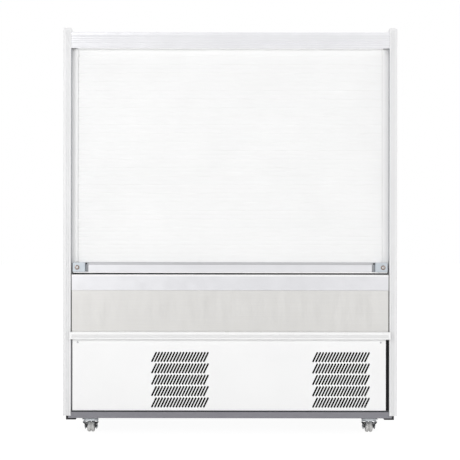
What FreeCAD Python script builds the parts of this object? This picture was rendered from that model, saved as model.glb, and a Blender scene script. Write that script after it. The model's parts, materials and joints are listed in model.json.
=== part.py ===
import FreeCAD, Part
import math
import os

V = FreeCAD.Vector

# Millimetres. X is the width, Y the depth with the front towards -Y, Z is up.
# The origin is on the floor under the middle of the cabinet.
# A pair named ..._x, ..._y or ..._z holds the low and high limit on that axis.

# ---- Cabinet ----
cabinet_width = 1500.0
cabinet_depth = 638.0
cabinet_top = 1829.0
bumper_projection = 22.0
end_panel_thickness = 35.0
end_panel_bottom = 87.0
end_panel_setback = 1.5
trim_depth = 40.0
trim_cap_height = 4.0
trim_corner = 4.0
trim_top_corner = 2.5
groove_offsets = (16.0, 25.0)
groove_width = 4.0
groove_depth = 2.4
groove_end = 14.0
back_thickness = 36.0
back_inset = 4.0
top_thickness = 40.0
canopy_top = 1811.0
sheet = 1.5
heavy_sheet = 2.5
bend = 1.0
seam = 1.0
touch_gap = 0.3

# ---- Front, from the floor up ----
front_setback = 2.0
plinth_bottom = 76.0
plinth_height = 34.0
plinth_sheet = 2.0
plinth_flange = 14.0
plinth_flare = 12.0
plinth_flare_run = 1.7
plinth_flare_rise = 8.0
service_height = 314.0
service_side_gap = 7.0
service_latch_gap = 15.0
service_return = 12.0
service_setback = 4.0
service_top_gap = 6.0
bumper_height = 34.0
bumper_overhang = 3.0
bumper_nose = 7.0
bumper_bead = 10.5
bumper_hollow = 2.0
bumper_slope = 1.5
bumper_tongue_inset = 2.0
steel_panel_height = 185.0
cap_height = 70.0
cap_sheet = 2.0
cap_corner = 6.0
cap_depth = 51.0
cap_lip = 3.6

# ---- Vents in the service panel ----
vent_group_inset_left = 483.3
vent_group_inset_right = 201.0
vent_rows = 5
vent_columns = 18
vent_pitch = 13.7
vent_row_pitch = 51.1
vent_top_row = 350.9
vent_width = 7.8
vent_height = 46.0
vent_shift = 22.4

# ---- Service panel screws ----
screw_inset = 23.0
screw_drop = 8.0
screw_radius = 2.0
screw_head_radius = 4.5
screw_head_height = 2.5
screw_grip = 12.0
screw_clearance = 0.3
screw_recess = 1.2
screw_recess_depth = 1.5

# ---- Base ----
tray_bottom = 83.0
post_width = 45.0
post_depth = 30.0
post_gap = 0.5
skid_height = 18.0
skid_width = 44.0
skid_outer_inset = 13.0
skid_back_inset = 10.0

# ---- Insulated well ----
well_wall = 40.0
well_setback = 6.0
drain_x = 350.0
drain_back_inset = 120.0
drain_radius = 16.0
drain_bore = 13.0
drain_length = 30.0

# ---- Shutter ----
shutter_recess = 38.0
slat_thickness = 3.0
guide_width = 27.0
guide_flange = 3.0
guide_channel = 10.0
guide_web = 2.0
guide_nose = 1.2
curtain_side_gap = 3.0
seal_height = 8.7
rail_height = 46.0
rail_depth = 26.0
rail_tongue_depth = 12.0
rail_face_top = 35.0
rail_lip_height = 3.0
rail_lip_projection = 2.0
rail_end_gap = 3.0
rail_face_inset = 77.0
fascia_height = 73.0
fascia_sheet = 2.0
fascia_setback = 1.0
fascia_flange = 36.0
fascia_lip = 11.0
box_depth = 84.0
box_floor = 97.0
box_bracket = 4.0
roller_radius = 30.0
roller_wall = 2.0
roller_disc = 5.0
roller_pin_radius = 6.0
roller_below_top = 46.0
roller_end_gap = 1.5
running_gap = 0.05

# ---- Shutter locks ----
case_length = 55.0
case_side_gap = 7.0
case_front = 22.0
case_wall = 3.0
case_top_gap = 1.0
barrel_offset = 27.0
barrel_radius = 9.0
barrel_proud = 3.0
cam_radius = 12.0
cam_thickness = 1.5
crank_radius = 9.0
crank_pin_radius = 1.5
crank_play = 0.4
bolt_thickness = 2.8
bolt_height = 13.0
bolt_above_barrel = 1.0
bolt_length = 35.0
bolt_tip_inset = 1.0
bolt_gap = 0.3
strike_clearance = 1.5
key_slot_width = 2.0
key_slot_height = 9.0
key_slot_depth = 3.0

# ---- Display space ----
deck_height = 681.5
deck_edge = 24.5
tray_count = 3
tray_gap = 2.0
duct_depth = 60.0
duct_ledge = 23.0
duct_hole_length = 60.0
duct_hole_height = 6.0
duct_hole_rows = 8
duct_hole_columns = 12
duct_hole_pitch = 110.0
ceiling_height = 1707.0
honeycomb_depth = 36.0
honeycomb_height = 20.0
honeycomb_rim = 4.0
honeycomb_cells = 88
honeycomb_wall = 2.0
light_end_inset = 115.0
light_depth = 25.0
light_height = 22.0
light_sheet = 1.5
light_front_gap = 47.0
grille_slot_width = 6.0
grille_slot_pitch = 12.0
grille_slot_margin = 5.0
grille_drop = 26.0

# ---- Shelves ----
shelf_count = 4
shelf_pitch = 202.0
shelf_first_rise = 203.5
shelf_depth = 340.0
shelf_front_edge = 30.0
shelf_back_edge = 20.0
upright_inset = 7.0
upright_width = 28.0
upright_depth = 10.0
upright_sheet = 2.0
slots_per_shelf = 8
slot_height = 14.0
slot_width = 4.0
bracket_sheet = 2.5
bracket_back_height = 60.0
bracket_front_height = 20.0
bracket_short = 25.0
tab_height = 10.0
tab_reach = 6.0
ticket_height = 38.0
ticket_rise = 4.0
ticket_depth = 5.0
ticket_lip = 1.6

# ---- Evaporator ----
coil_end_inset = 155.0
coil_depth = 140.0
coil_back_inset = 90.0
coil_lift = 16.0
coil_top_gap = 20.0
coil_end_plate = 2.0
coil_end_top = 10.0
coil_fins = 40
coil_fin_share = 0.45
coil_spine = 20.0
fan_plate_lead = 100.0
evaporator_fan_x = 300.0
evaporator_fan_margin = 18.0
evaporator_hub_radius = 20.0
fan_tip_gap = 5.0
fan_lead = 8.0
fan_depth = 30.0
fan_blades = 5
blade_sheet = 2.0
blade_pitch = 35.0
motor_gap = 4.0
motor_length = 30.0
motor_radius = 28.0
shaft_radius = 3.0
strut_count = 3
strut_width = 10.0
strut_sheet = 3.0
strut_setback = 14.0
strut_overlap = 8.0

# ---- Condensing unit ----
condenser_x = (-360.0, -90.0)
condenser_z = (97.0, 367.0)
condenser_setback = 53.0
condenser_depth = 65.0
condenser_fins = 36
shroud_depth = 40.0
condenser_fan_radius = 108.0
condenser_hub_radius = 32.0
compressor_x = 110.0
compressor_back_inset = 200.0
compressor_radius = 88.0
compressor_foot_height = 18.0
compressor_body_height = 200.0
compressor_dome = 45.0
compressor_seam_radius = 92.0
compressor_seam_height = 8.0
compressor_foot_size = 210.0
compressor_foot_sheet = 4.0
grommet_radius = 14.0
stub_radius = 7.0
stub_length = 22.0
discharge_height = 160.0
suction_height = 130.0
pipe_radius = 5.0
pipe_bend = 30.0
pipe_rise_x = 250.0
liquid_x = -40.0
liquid_back_inset = 270.0
suction_back_inset = 260.0
liquid_height = 127.0
discharge_run = 60.0
drip_tray_overhang = 60.0
drip_tray_depth = 152.0
drip_tray_back_gap = 8.0
drip_tray_height = 46.0
drip_tray_wall = 2.0
control_side_inset = 105.0
control_width = 210.0
control_setback = 128.0
control_depth = 110.0
control_height = 170.0
keypad_inset = 30.0
keypad_width = 80.0
keypad_height = 40.0
keypad_drop = 30.0
keypad_sheet = 3.0
switch_inset = 45.0
switch_drop = 50.0
switch_width = 14.0
switch_height = 24.0
switch_depth = 12.0
switch_tilt = 7.0
switch_frame = 2.0
gland_side_inset = 115.0
gland_z = 167.0
gland_radius = 10.0
gland_bore = 4.5
gland_flange_radius = 15.0
gland_flange = 5.0
gland_inside = 12.0

# ---- Casters ----
caster_side_inset = 116.0
caster_front_inset = 93.0
caster_back_inset = 75.0
wheel_radius = 25.0
wheel_width = 34.0
wheel_shoulder = 8.0
wheel_groove = 7.0
wheel_groove_foot = 3.0
wheel_groove_depth = 5.0
wheel_groove_corner = 2.0
axle_radius = 4.0
axle_nut_radius = 6.5
axle_nut = 3.5
axle_nut_gap = 0.5
caster_trail = 20.0
caster_pad_size = 56.0
caster_pad_height = 18.0
caster_plate_size = 72.0
caster_plate_sheet = 2.5
king_pin_radius = 5.0
king_head_radius = 6.5
king_head = 2.0
swivel_radius = 29.0
swivel_height = 5.5
swivel_corner = 1.5
fork_gap = 2.0
fork_sheet = 2.5
fork_crown_half = 30.0
fork_crown_drop = 5.0
fork_neck_rise = 9.0
fork_front = 24.0
fork_back = 10.0
fork_foot = 8.0
brake_gap = 3.0
brake_sheet = 2.0
brake_arm = 11.0
brake_wing_rise = 21.0
brake_pedal_gap = 3.0
brake_pedal_length = 24.0
brake_pedal_z = 34.0
brake_pedal_sheet = 4.0
brake_bore_gap = 0.08

# ---- Places worked out from the sizes ----
half_width = cabinet_width / 2
inner_x = half_width - end_panel_thickness
back_y = (cabinet_depth + bumper_projection) / 2
front_y = back_y - cabinet_depth
trim_back_y = front_y + trim_depth
back_rear_y = back_y - back_inset
back_face_y = back_rear_y - back_thickness
plinth_top = plinth_bottom + plinth_height
service_z = (plinth_top + seam, plinth_top + seam + service_height)
service_x = (service_side_gap - inner_x, inner_x - service_latch_gap)
screw_places = (service_x[0] + screw_inset, service_x[1] - screw_inset)
service_y = (front_y + service_setback, front_y + service_setback + service_return)
bumper_z = (service_z[1] + service_top_gap, service_z[1] + service_top_gap + bumper_height)
steel_z = (bumper_z[1], bumper_z[1] + steel_panel_height)
cap_z = (steel_z[1] + seam, steel_z[1] + seam + cap_height)
cap_front_y = front_y + front_setback
tray_floor = tray_bottom + heavy_sheet
well_front_y = front_y + well_setback
well_floor = bumper_z[0] + well_wall
well_top = cap_z[1] - 2 * cap_sheet
seal_z = (cap_z[1] + touch_gap, cap_z[1] + touch_gap + seal_height)
rail_z = (seal_z[1], seal_z[1] + rail_height)
curtain_y = (front_y + shutter_recess, front_y + shutter_recess + slat_thickness)
guide_middle_y = (curtain_y[0] + curtain_y[1]) / 2
guide_y = (guide_middle_y - guide_channel / 2 - guide_flange,
           guide_middle_y + guide_channel / 2 + guide_flange)
rail_back_y = curtain_y[1] + touch_gap
rail_front_y = rail_back_y - rail_depth
tongue_front_y = rail_back_y - rail_tongue_depth
rail_half = inner_x - guide_width - rail_end_gap
rail_face_half = inner_x - rail_face_inset
fascia_z = (canopy_top - fascia_height, canopy_top)
fascia_front_y = front_y + fascia_setback
roller_y = curtain_y[1] + touch_gap + roller_radius
roller_z = canopy_top - roller_below_top
box_front_y = guide_y[1]
box_back_y = box_front_y + box_depth
box_floor_z = canopy_top - box_floor
box_top_z = canopy_top - fascia_sheet
curtain_top = roller_z
case_x = (inner_x - case_side_gap - case_length, inner_x - case_side_gap)
case_y = (tongue_front_y - case_front, tongue_front_y)
case_z = (rail_z[0] + rail_lip_height, rail_z[1] - case_top_gap)
barrel_x = inner_x - barrel_offset
barrel_z = (rail_z[0] + rail_z[1]) / 2
bolt_y = (tongue_front_y - case_wall - bolt_thickness, tongue_front_y - case_wall)
cam_y = (bolt_y[0] - touch_gap - cam_thickness, bolt_y[0] - touch_gap)
crank_angle = math.radians(45)
bolt_travel = 2 * crank_radius * math.sin(crank_angle)
strike_depth = bolt_travel + strike_clearance - case_side_gap - bolt_tip_inset
bolt_x = (case_x[1] - bolt_tip_inset - bolt_length, case_x[1] - bolt_tip_inset)
bolt_z = (barrel_z + bolt_above_barrel, barrel_z + bolt_above_barrel + bolt_height)
duct_face_y = back_face_y - duct_depth
shelf_half = inner_x - upright_inset - upright_width / 2 - slot_width / 2
upright_front_y = duct_face_y - upright_depth
deck_front_y = box_front_y + grille_drop
vent_groups = (service_x[0] + vent_group_inset_left, service_x[1] - vent_group_inset_right)
light_length = 2 * (inner_x - light_end_inset)
well_room = deck_height - deck_edge - well_floor
coil_length = 2 * (inner_x - coil_end_inset)
coil_height = well_room - coil_lift - coil_end_top - coil_top_gap
coil_y = (back_face_y - coil_back_inset - coil_depth, back_face_y - coil_back_inset)
drain_y = back_face_y - drain_back_inset
liquid_y = back_face_y - liquid_back_inset
suction_y = back_face_y - suction_back_inset
fan_plate_y = coil_y[0] - fan_plate_lead
evaporator_fan_radius = well_room / 2 - evaporator_fan_margin
evaporator_fan_z = well_floor + well_room / 2
condenser_front = front_y + condenser_setback
condenser_fan_x = (condenser_x[0] + condenser_x[1]) / 2
condenser_fan_z = (condenser_z[0] + condenser_z[1]) / 2
compressor_y = back_face_y - compressor_back_inset
drip_tray_x = (condenser_x[0] - drip_tray_overhang, condenser_x[1])
drip_tray_y = (back_face_y - drip_tray_back_gap - drip_tray_depth, back_face_y - drip_tray_back_gap)
control_x = (inner_x - control_side_inset - control_width, inner_x - control_side_inset)
control_y = (front_y + control_setback, front_y + control_setback + control_depth)
keypad_x = (control_x[0] + keypad_inset, control_x[0] + keypad_inset + keypad_width)
switch_x = control_x[1] - switch_inset
gland_x = inner_x - gland_side_inset
caster_x = half_width - caster_side_inset
caster_front_y = front_y + caster_front_inset
caster_back_y = back_y - caster_back_inset
caster_plate_z = (tray_bottom - caster_pad_height - caster_plate_sheet,
                  tray_bottom - caster_pad_height)
swivel_z = (caster_plate_z[0] - touch_gap - swivel_height, caster_plate_z[0] - touch_gap)
crown_low = swivel_z[0] - fork_sheet


# ---- Helpers ----
def box(x, y, z):
    """Block between the low and high limits on each axis."""
    return Part.makeBox(x[1] - x[0], y[1] - y[0], z[1] - z[0], V(x[0], y[0], z[0]))


def rod_x(radius, x, y, z):
    """Cylinder along X between the limits x, through y and z."""
    return Part.makeCylinder(radius, x[1] - x[0], V(x[0], y, z), V(1, 0, 0))


def rod_y(radius, x, y, z):
    """Cylinder along Y between the limits y, through x and z."""
    return Part.makeCylinder(radius, y[1] - y[0], V(x, y[0], z), V(0, 1, 0))


def rod_z(radius, x, y, z):
    """Cylinder along Z between the limits z, through x and y."""
    return Part.makeCylinder(radius, z[1] - z[0], V(x, y, z[0]), V(0, 0, 1))


def centred(middle, width):
    """Limits of a width about its middle."""
    return (middle - width / 2, middle + width / 2)


def outline(corners, place):
    """Closed face through flat corners (a, b, radius), each rounded by its radius."""
    edges = []
    firsts = []
    lasts = []
    count = len(corners)
    for i in range(count):
        here = V(corners[i][0], corners[i][1], 0)
        before = V(corners[i - 1][0], corners[i - 1][1], 0)
        after = V(corners[(i + 1) % count][0], corners[(i + 1) % count][1], 0)
        radius = corners[i][2]
        if radius == 0:
            firsts.append(here)
            lasts.append(here)
            edges.append(None)
            continue
        back = (before - here).normalize()
        ahead = (after - here).normalize()
        half = back.getAngle(ahead) / 2
        reach = radius / math.tan(half)
        middle = (back + ahead).normalize()
        first = here + back * reach
        last = here + ahead * reach
        top = here + middle * (radius / math.sin(half) - radius)
        firsts.append(first)
        lasts.append(last)
        edges.append(Part.Arc(place(first), place(top), place(last)).toShape())
    loop = []
    for i in range(count):
        if edges[i] is not None:
            loop.append(edges[i])
        start = lasts[i]
        end = firsts[(i + 1) % count]
        if (end - start).Length > 1e-6:
            loop.append(Part.LineSegment(place(start), place(end)).toShape())
    return Part.Face(Part.Wire(loop))


def along_x(corners, x):
    """Solid with a (y, z, radius) outline between the limits x."""
    face = outline(corners, lambda p: V(x[0], p.x, p.y))
    return face.extrude(V(x[1] - x[0], 0, 0))


def along_y(corners, y):
    """Solid with an (x, z, radius) outline between the limits y."""
    face = outline(corners, lambda p: V(p.x, y[0], p.y))
    return face.extrude(V(0, y[1] - y[0], 0))


def along_z(corners, z):
    """Solid with an (x, y, radius) outline between the limits z."""
    face = outline(corners, lambda p: V(p.x, p.y, z[0]))
    return face.extrude(V(0, 0, z[1] - z[0]))


def folded_corners(path, thickness):
    """Corners of a folded sheet: path runs along one face, the sheet lies on its left."""
    steps = []
    for start, end in zip(path, path[1:]):
        steps.append((V(end[0], end[1], 0) - V(start[0], start[1], 0)).normalize())
    near = []
    far = []
    for i, point in enumerate(path):
        before = steps[max(i - 1, 0)]
        after = steps[min(i, len(steps) - 1)]
        left_before = V(-before.y, before.x, 0)
        left_after = V(-after.y, after.x, 0)
        reach = thickness / (1 + left_before.dot(left_after))
        shift = (left_before + left_after) * reach
        turn = before.x * after.y - before.y * after.x
        near_radius = 0 if turn == 0 else bend + (thickness if turn > 0 else 0)
        far_radius = 0 if turn == 0 else bend + (thickness if turn < 0 else 0)
        near.append((point[0], point[1], near_radius))
        far.append((point[0] + shift.x, point[1] + shift.y, far_radius))
    return near + far[::-1]


def folded_sheet(path, thickness, x):
    """Folded sheet along X from a (y, z) path, the sheet on the path's left."""
    return along_x(folded_corners(path, thickness), x)


def rounded(shape, radius, chosen):
    """Shape with each edge that chosen() picks by its middle and direction rounded."""
    edges = []
    for edge in shape.Edges:
        ends = [v.Point for v in edge.Vertexes]
        if len(ends) == 2 and chosen(ends[0], ends[1]):
            edges.append(edge)
    return shape.makeFillet(radius, edges)


def joined(shapes):
    """One solid made of shapes that meet or overlap."""
    first = shapes[0]
    return first.fuse(shapes[1:]).removeSplitter()


def mirrored(shape):
    """The same shape on the other side of the middle plane."""
    return shape.mirror(V(0, 0, 0), V(1, 0, 0))


def both_sides(shape):
    """A right-hand shape and its left-hand twin."""
    return [shape, mirrored(shape)]


def save(name, shapes):
    """Write the solids of one node."""
    os.makedirs("parts", exist_ok=True)
    solids = []
    for shape in shapes:
        solids.extend(shape.Solids)
    whole = solids[0] if len(solids) == 1 else Part.makeCompound(solids)
    whole.exportStep("parts/" + name + ".step")


def pipe(points, radius, turn):
    """Round pipe through points, with an arc of radius turn at each inner one."""
    edges = []
    start = points[0]
    for before, here, after in zip(points, points[1:], points[2:]):
        back = (before - here).normalize()
        ahead = (after - here).normalize()
        half = back.getAngle(ahead) / 2
        reach = turn / math.tan(half)
        middle = (back + ahead).normalize()
        first = here + back * reach
        last = here + ahead * reach
        top = here + middle * (turn / math.sin(half) - turn)
        edges.append(Part.LineSegment(start, first).toShape())
        edges.append(Part.Arc(first, top, last).toShape())
        start = last
    edges.append(Part.LineSegment(start, points[-1]).toShape())
    path = Part.Wire(edges)
    aim = (points[1] - points[0]).normalize()
    ring = Part.Wire(Part.makeCircle(radius, points[0], aim))
    return path.makePipeShell([ring], True, False)


# ---- Cabinet shell ----
def end_panel():
    """Right insulated end panel, behind its front trim."""
    return box((inner_x, half_width - end_panel_setback), (trim_back_y, back_y),
               (end_panel_bottom, cabinet_top - trim_cap_height))


def end_trim():
    """Right front trim: a grooved post with a rounded top and a strike hole."""
    post = box((inner_x, half_width), (front_y, trim_back_y), (end_panel_bottom, cabinet_top))
    post = rounded(post, trim_corner, lambda a, b: a.y == b.y == front_y and a.x == b.x)
    post = rounded(post, trim_top_corner, lambda a, b: a.z == b.z == cabinet_top)
    for offset in groove_offsets:
        groove_x = centred(half_width - offset, groove_width)
        post = post.cut(box(groove_x, (front_y - seam, front_y + groove_depth),
                            (end_panel_bottom - seam, cabinet_top - groove_end)))
    strike = box((inner_x - seam, inner_x + strike_depth),
                 (bolt_y[0] - strike_clearance, bolt_y[1] + strike_clearance),
                 (bolt_z[0] - strike_clearance, bolt_z[1] + strike_clearance))
    return post.cut(strike)


def back_panel():
    """Insulated back between the end panels, with the hole for the mains gland."""
    panel = box((-inner_x, inner_x), (back_face_y, back_rear_y), (plinth_top, canopy_top))
    hole = rod_y(gland_radius + running_gap, gland_x, (back_face_y - seam, back_y + seam), gland_z)
    return panel.cut(hole)


def top_panel():
    """Insulated top behind the shutter box."""
    return box((-inner_x, inner_x), (box_back_y, back_face_y),
               (canopy_top - top_thickness, canopy_top))


def insulated_well():
    """Trough under the deck: floor, front wall and a drain spigot."""
    corners = [(well_front_y, bumper_z[0], 0), (back_face_y, bumper_z[0], 0),
               (back_face_y, well_floor, 0), (well_front_y + well_wall, well_floor, 0),
               (well_front_y + well_wall, well_top, 0), (well_front_y, well_top, 0)]
    trough = along_x(corners, (-inner_x, inner_x))
    spigot = rod_z(drain_radius, drain_x, drain_y,
                   (bumper_z[0] - drain_length, bumper_z[0] + seam))
    hole = rod_z(drain_bore, drain_x, drain_y,
                 (bumper_z[0] - drain_length - seam, well_floor + seam))
    trough = joined([trough, spigot]).cut(hole)
    for x, y in ((liquid_x, liquid_y), (pipe_rise_x, suction_y)):
        trough = trough.cut(rod_z(pipe_radius + touch_gap, x, y,
                                  (bumper_z[0] - seam, well_floor + seam)))
    return trough


# ---- Base ----
def base_frame():
    """Tray under the machine space, with four corner posts under the well."""
    y = (cap_front_y + plinth_sheet, back_y - front_setback)
    outer = box((-inner_x, inner_x), y, (tray_bottom, plinth_top - plinth_sheet))
    hollow = box((heavy_sheet - inner_x, inner_x - heavy_sheet),
                 (y[0] + heavy_sheet, y[1] - heavy_sheet), (tray_floor, plinth_top))
    frame = outer.cut(hollow)
    ledge = box((-inner_x, inner_x), (back_face_y, y[1]), (plinth_top - plinth_sheet, plinth_top))
    posts = [frame, ledge]
    front = service_y[1] + post_gap
    for start in (front, back_face_y - post_depth):
        x = (inner_x - post_width, inner_x)
        tube = box(x, (start, start + post_depth), (tray_floor, bumper_z[0]))
        core = box((x[0] + heavy_sheet, x[1] - heavy_sheet),
                   (start + heavy_sheet, start + post_depth - heavy_sheet),
                   (tray_floor + heavy_sheet, bumper_z[0] - heavy_sheet))
        posts.extend(both_sides(tube.cut(core)))
    frame = joined(posts)
    for place in screw_places:
        hole = rod_y(screw_radius + screw_clearance, place,
                     (front - seam, front + screw_grip + seam), service_z[1] - screw_drop)
        frame = frame.cut(hole)
    return frame


def plinth_rail():
    """Front rail of the base: flanged at top and foot, flared out under the end trims."""
    foot_z = end_panel_bottom
    wide = inner_x + plinth_flare
    edge = inner_x - front_setback
    corners = [(-wide, plinth_bottom, 0), (wide, plinth_bottom, 0), (wide, foot_z, 0),
               (edge + plinth_flare_run, foot_z, 0), (edge, foot_z + plinth_flare_rise, 0),
               (edge, plinth_top, 0), (-edge, plinth_top, 0),
               (-edge, foot_z + plinth_flare_rise, 0), (-edge - plinth_flare_run, foot_z, 0),
               (-wide, foot_z, 0)]
    plate = along_y(corners, (cap_front_y, cap_front_y + plinth_sheet))
    reach = (cap_front_y, cap_front_y + plinth_flange)
    top = box((-edge, edge), reach, (plinth_top - plinth_sheet, plinth_top))
    inside = half_width - skid_outer_inset - skid_width - seam
    foot = box((-inside, inside), reach, (plinth_bottom, plinth_bottom + plinth_sheet))
    return joined([plate, top, foot])


def end_skid():
    """Right black skid under the end panel and the edge of the tray."""
    outer = half_width - skid_outer_inset
    y = (cap_front_y + plinth_sheet + touch_gap, back_y - skid_back_inset)
    low = end_panel_bottom - skid_height
    wide = box((outer - skid_width, outer), y, (low, tray_bottom))
    raised = box((inner_x + touch_gap, outer), y, (low, end_panel_bottom))
    return joined([wide, raised])


# ---- Front ----
def top_fascia():
    """Silver channel across the top, hiding the shutter box."""
    y = fascia_front_y
    path = [(y + fascia_lip, fascia_z[0]), (y, fascia_z[0]), (y, fascia_z[1]),
            (y + fascia_flange, fascia_z[1])]
    return folded_sheet(path[::-1], fascia_sheet, (-inner_x, inner_x))


def front_cap_rail():
    """Silver cap over the front wall of the well, with a rounded top edge."""
    y = cap_front_y
    back = y + cap_depth
    low, high = cap_z
    inner = cap_corner - cap_sheet
    corners = [(y + cap_lip, low, 0), (y + cap_lip, low + cap_sheet, 0),
               (y + cap_sheet, low + cap_sheet, 0), (y + cap_sheet, high - cap_sheet, inner),
               (back, high - cap_sheet, 0), (back, high, 0), (y, high, cap_corner), (y, low, 0)]
    return along_x(corners, (-inner_x, inner_x))


def front_steel_panel():
    """Plain stainless sheet between the cap and the bumper."""
    y = cap_front_y + front_setback
    return box((-inner_x, inner_x), (y, y + sheet), steel_z)


def bumper_rail():
    """White bumper: two rounded beads with a shallow hollow between them."""
    nose = front_y - bumper_projection
    low, high = bumper_z
    hollow = nose + bumper_hollow
    corners = [(front_y, low, 0), (nose, low, bumper_nose), (nose, low + bumper_bead, 1),
               (hollow, low + bumper_bead + bumper_slope, 1),
               (hollow, high - bumper_bead - bumper_slope, 1),
               (nose, high - bumper_bead, 1), (nose, high, bumper_nose), (front_y, high, 0)]
    half = inner_x + bumper_overhang
    rail = along_x(corners, (-half, half))
    tongue = box((seam - inner_x, inner_x - seam), (front_y - seam, well_front_y),
                 (low + bumper_tongue_inset, high - bumper_tongue_inset))
    return joined([rail, tongue])


def vent_slots():
    """Slanted round-ended slots, in two groups of rows."""
    run = vent_height - vent_width
    shift = vent_shift * run / vent_height
    half = vent_width / 2
    slots = []
    for group in vent_groups:
        for row in range(vent_rows):
            for column in range(vent_columns):
                x = group + (column - (vent_columns - 1) / 2) * vent_pitch
                z = vent_top_row - row * vent_row_pitch
                low = V(x - shift / 2, service_y[0] - seam, z - run / 2)
                high = V(x + shift / 2, service_y[0] - seam, z + run / 2)
                along = (high - low).normalize()
                side = V(-along.z, 0, along.x) * half
                edges = [Part.LineSegment(low + side, high + side).toShape(),
                         Part.Arc(high + side, high + along * half, high - side).toShape(),
                         Part.LineSegment(high - side, low - side).toShape(),
                         Part.Arc(low - side, low - along * half, low + side).toShape()]
                face = Part.Face(Part.Wire(edges))
                slots.append(face.extrude(V(0, sheet + 2 * seam, 0)))
    return Part.makeCompound(slots)


def service_panel():
    """White cover of the machine space: a shallow pan with vents and two screw holes."""
    pan = box(service_x, service_y, service_z)
    pan = pan.cut(box((service_x[0] + sheet, service_x[1] - sheet),
                      (service_y[0] + sheet, service_y[1] + seam),
                      (service_z[0] + sheet, service_z[1] - sheet)))
    pan = pan.cut(vent_slots())
    for place in screw_places:
        pan = pan.cut(rod_y(screw_radius + screw_clearance, place,
                            (service_y[0] - seam, service_y[1]), service_z[1] - screw_drop))
    return pan


def service_screw(x):
    """Pan head with a cross recess, and its shank."""
    z = service_z[1] - screw_drop
    head_y = (service_y[0] - screw_head_height, service_y[0])
    shank_end = service_y[1] + post_gap + screw_grip
    screw = joined([rod_y(screw_head_radius, x, head_y, z),
                    rod_y(screw_radius, x, (head_y[0] + seam, shank_end), z)])
    recess_y = (head_y[0] - seam, head_y[0] + screw_recess_depth)
    length = 2 * screw_head_radius - 3 * seam
    for width, height in ((screw_recess, length), (length, screw_recess)):
        screw = screw.cut(box(centred(x, width), recess_y, centred(z, height)))
    return screw


# ---- Shutter ----
def shutter_box():
    """Floor, back and lid round the roller, and an end bracket at each side."""
    across = (-inner_x, inner_x)
    lid_y = (fascia_front_y + fascia_sheet + bend + touch_gap, box_back_y)
    plates = [box(across, (box_front_y, box_back_y), (box_floor_z, box_floor_z + sheet)),
              box(across, (box_back_y - sheet, box_back_y), (box_floor_z + sheet, box_top_z - sheet)),
              box(across, lid_y, (box_top_z - sheet, box_top_z))]
    bracket = box((inner_x - box_bracket, inner_x), (box_front_y, box_back_y - sheet),
                  (box_floor_z + sheet, box_top_z - sheet))
    bracket = bracket.cut(rod_x(roller_pin_radius + running_gap,
                                (inner_x - box_bracket - seam, inner_x + seam), roller_y, roller_z))
    bracket = rounded(bracket, bend,
                      lambda a, b: a.y == b.y == box_back_y - sheet and a.z == b.z)
    return plates + both_sides(bracket)


def guide_rail():
    """Right shutter guide: a channel with its mouth towards the middle."""
    x0 = inner_x - guide_width
    x1 = inner_x
    y0, y1 = guide_y
    corners = [(x0, y0, guide_nose), (x1, y0, 0), (x1, y1, 0), (x0, y1, guide_nose),
               (x0, y1 - guide_flange, guide_nose), (x1 - guide_web, y1 - guide_flange, 0),
               (x1 - guide_web, y0 + guide_flange, 0), (x0, y0 + guide_flange, guide_nose)]
    return along_z(corners, (cap_z[1], box_floor_z))


def shutter_roller():
    """Tube on two pins, which turn in the end brackets."""
    half = inner_x - box_bracket - roller_end_gap
    tube = rod_x(roller_radius, (-half, half), roller_y, roller_z)
    inside = half - roller_disc
    tube = tube.cut(rod_x(roller_radius - roller_wall, (-inside, inside), roller_y, roller_z))
    ends = []
    for side in (-1, 1):
        low, high = sorted((side * (half - seam), side * (inner_x - touch_gap)))
        ends.append(rod_x(roller_pin_radius, (low, high), roller_y, roller_z))
    return joined([tube] + ends)


def shutter_curtain():
    """Curtain of slats, drawn down from the roller to the bottom rail."""
    half = inner_x - guide_web - curtain_side_gap
    return box((-half, half), curtain_y, (rail_z[1], curtain_top))


def shutter_bottom_rail():
    """Silver rail: a full-width tongue and foot lip, with a raised face between the locks."""
    low, high = rail_z
    tongue = box((-rail_half, rail_half), (tongue_front_y, rail_back_y), rail_z)
    lip_front = rail_front_y - rail_lip_projection
    lip = box((-rail_half, rail_half), (lip_front, rail_back_y), (low, low + rail_lip_height))
    face = box((-rail_face_half, rail_face_half), (rail_front_y, rail_back_y),
               (low, low + rail_face_top))
    return joined([tongue, lip, face])


def shutter_seal():
    """Black rubber strip under the rail, the full width of the opening."""
    half = case_x[1]
    return box((-half, half), (rail_front_y, guide_y[0] - seam), seal_z)


def lock_case():
    """Right lock case: bored for the barrel, hollow for the cam and the bolt."""
    case = box(case_x, case_y, case_z)
    case = case.cut(rod_y(barrel_radius + running_gap, barrel_x, (case_y[0] - seam, cam_y[0]),
                          barrel_z))
    cavity = box((bolt_x[0] - seam, case_x[1] - case_wall),
                 (cam_y[0] - touch_gap, bolt_y[1] + bolt_gap),
                 (barrel_z - cam_radius - bolt_gap, bolt_z[1] + bolt_gap))
    way_out = box((case_x[1] - case_wall - seam, case_x[1] + seam),
                  (bolt_y[0] - bolt_gap, bolt_y[1] + bolt_gap),
                  (bolt_z[0] - bolt_gap, bolt_z[1] + bolt_gap))
    return case.cut(cavity).cut(way_out)


def lock_barrel():
    """Right barrel with its key slot, a cam behind it and a crank pin in the cam."""
    body = rod_y(barrel_radius, barrel_x, (case_y[0] - barrel_proud, cam_y[1]), barrel_z)
    cam = rod_y(cam_radius, barrel_x, cam_y, barrel_z)
    pin_x = barrel_x - crank_radius * math.sin(crank_angle)
    pin_z = barrel_z + crank_radius * math.cos(crank_angle)
    pin = rod_y(crank_pin_radius, pin_x, (cam_y[0], bolt_y[1]), pin_z)
    slot = box(centred(barrel_x, key_slot_width),
               (case_y[0] - barrel_proud - seam, case_y[0] - barrel_proud + key_slot_depth),
               centred(barrel_z, key_slot_height))
    return joined([body, cam, pin]).cut(slot)


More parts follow.
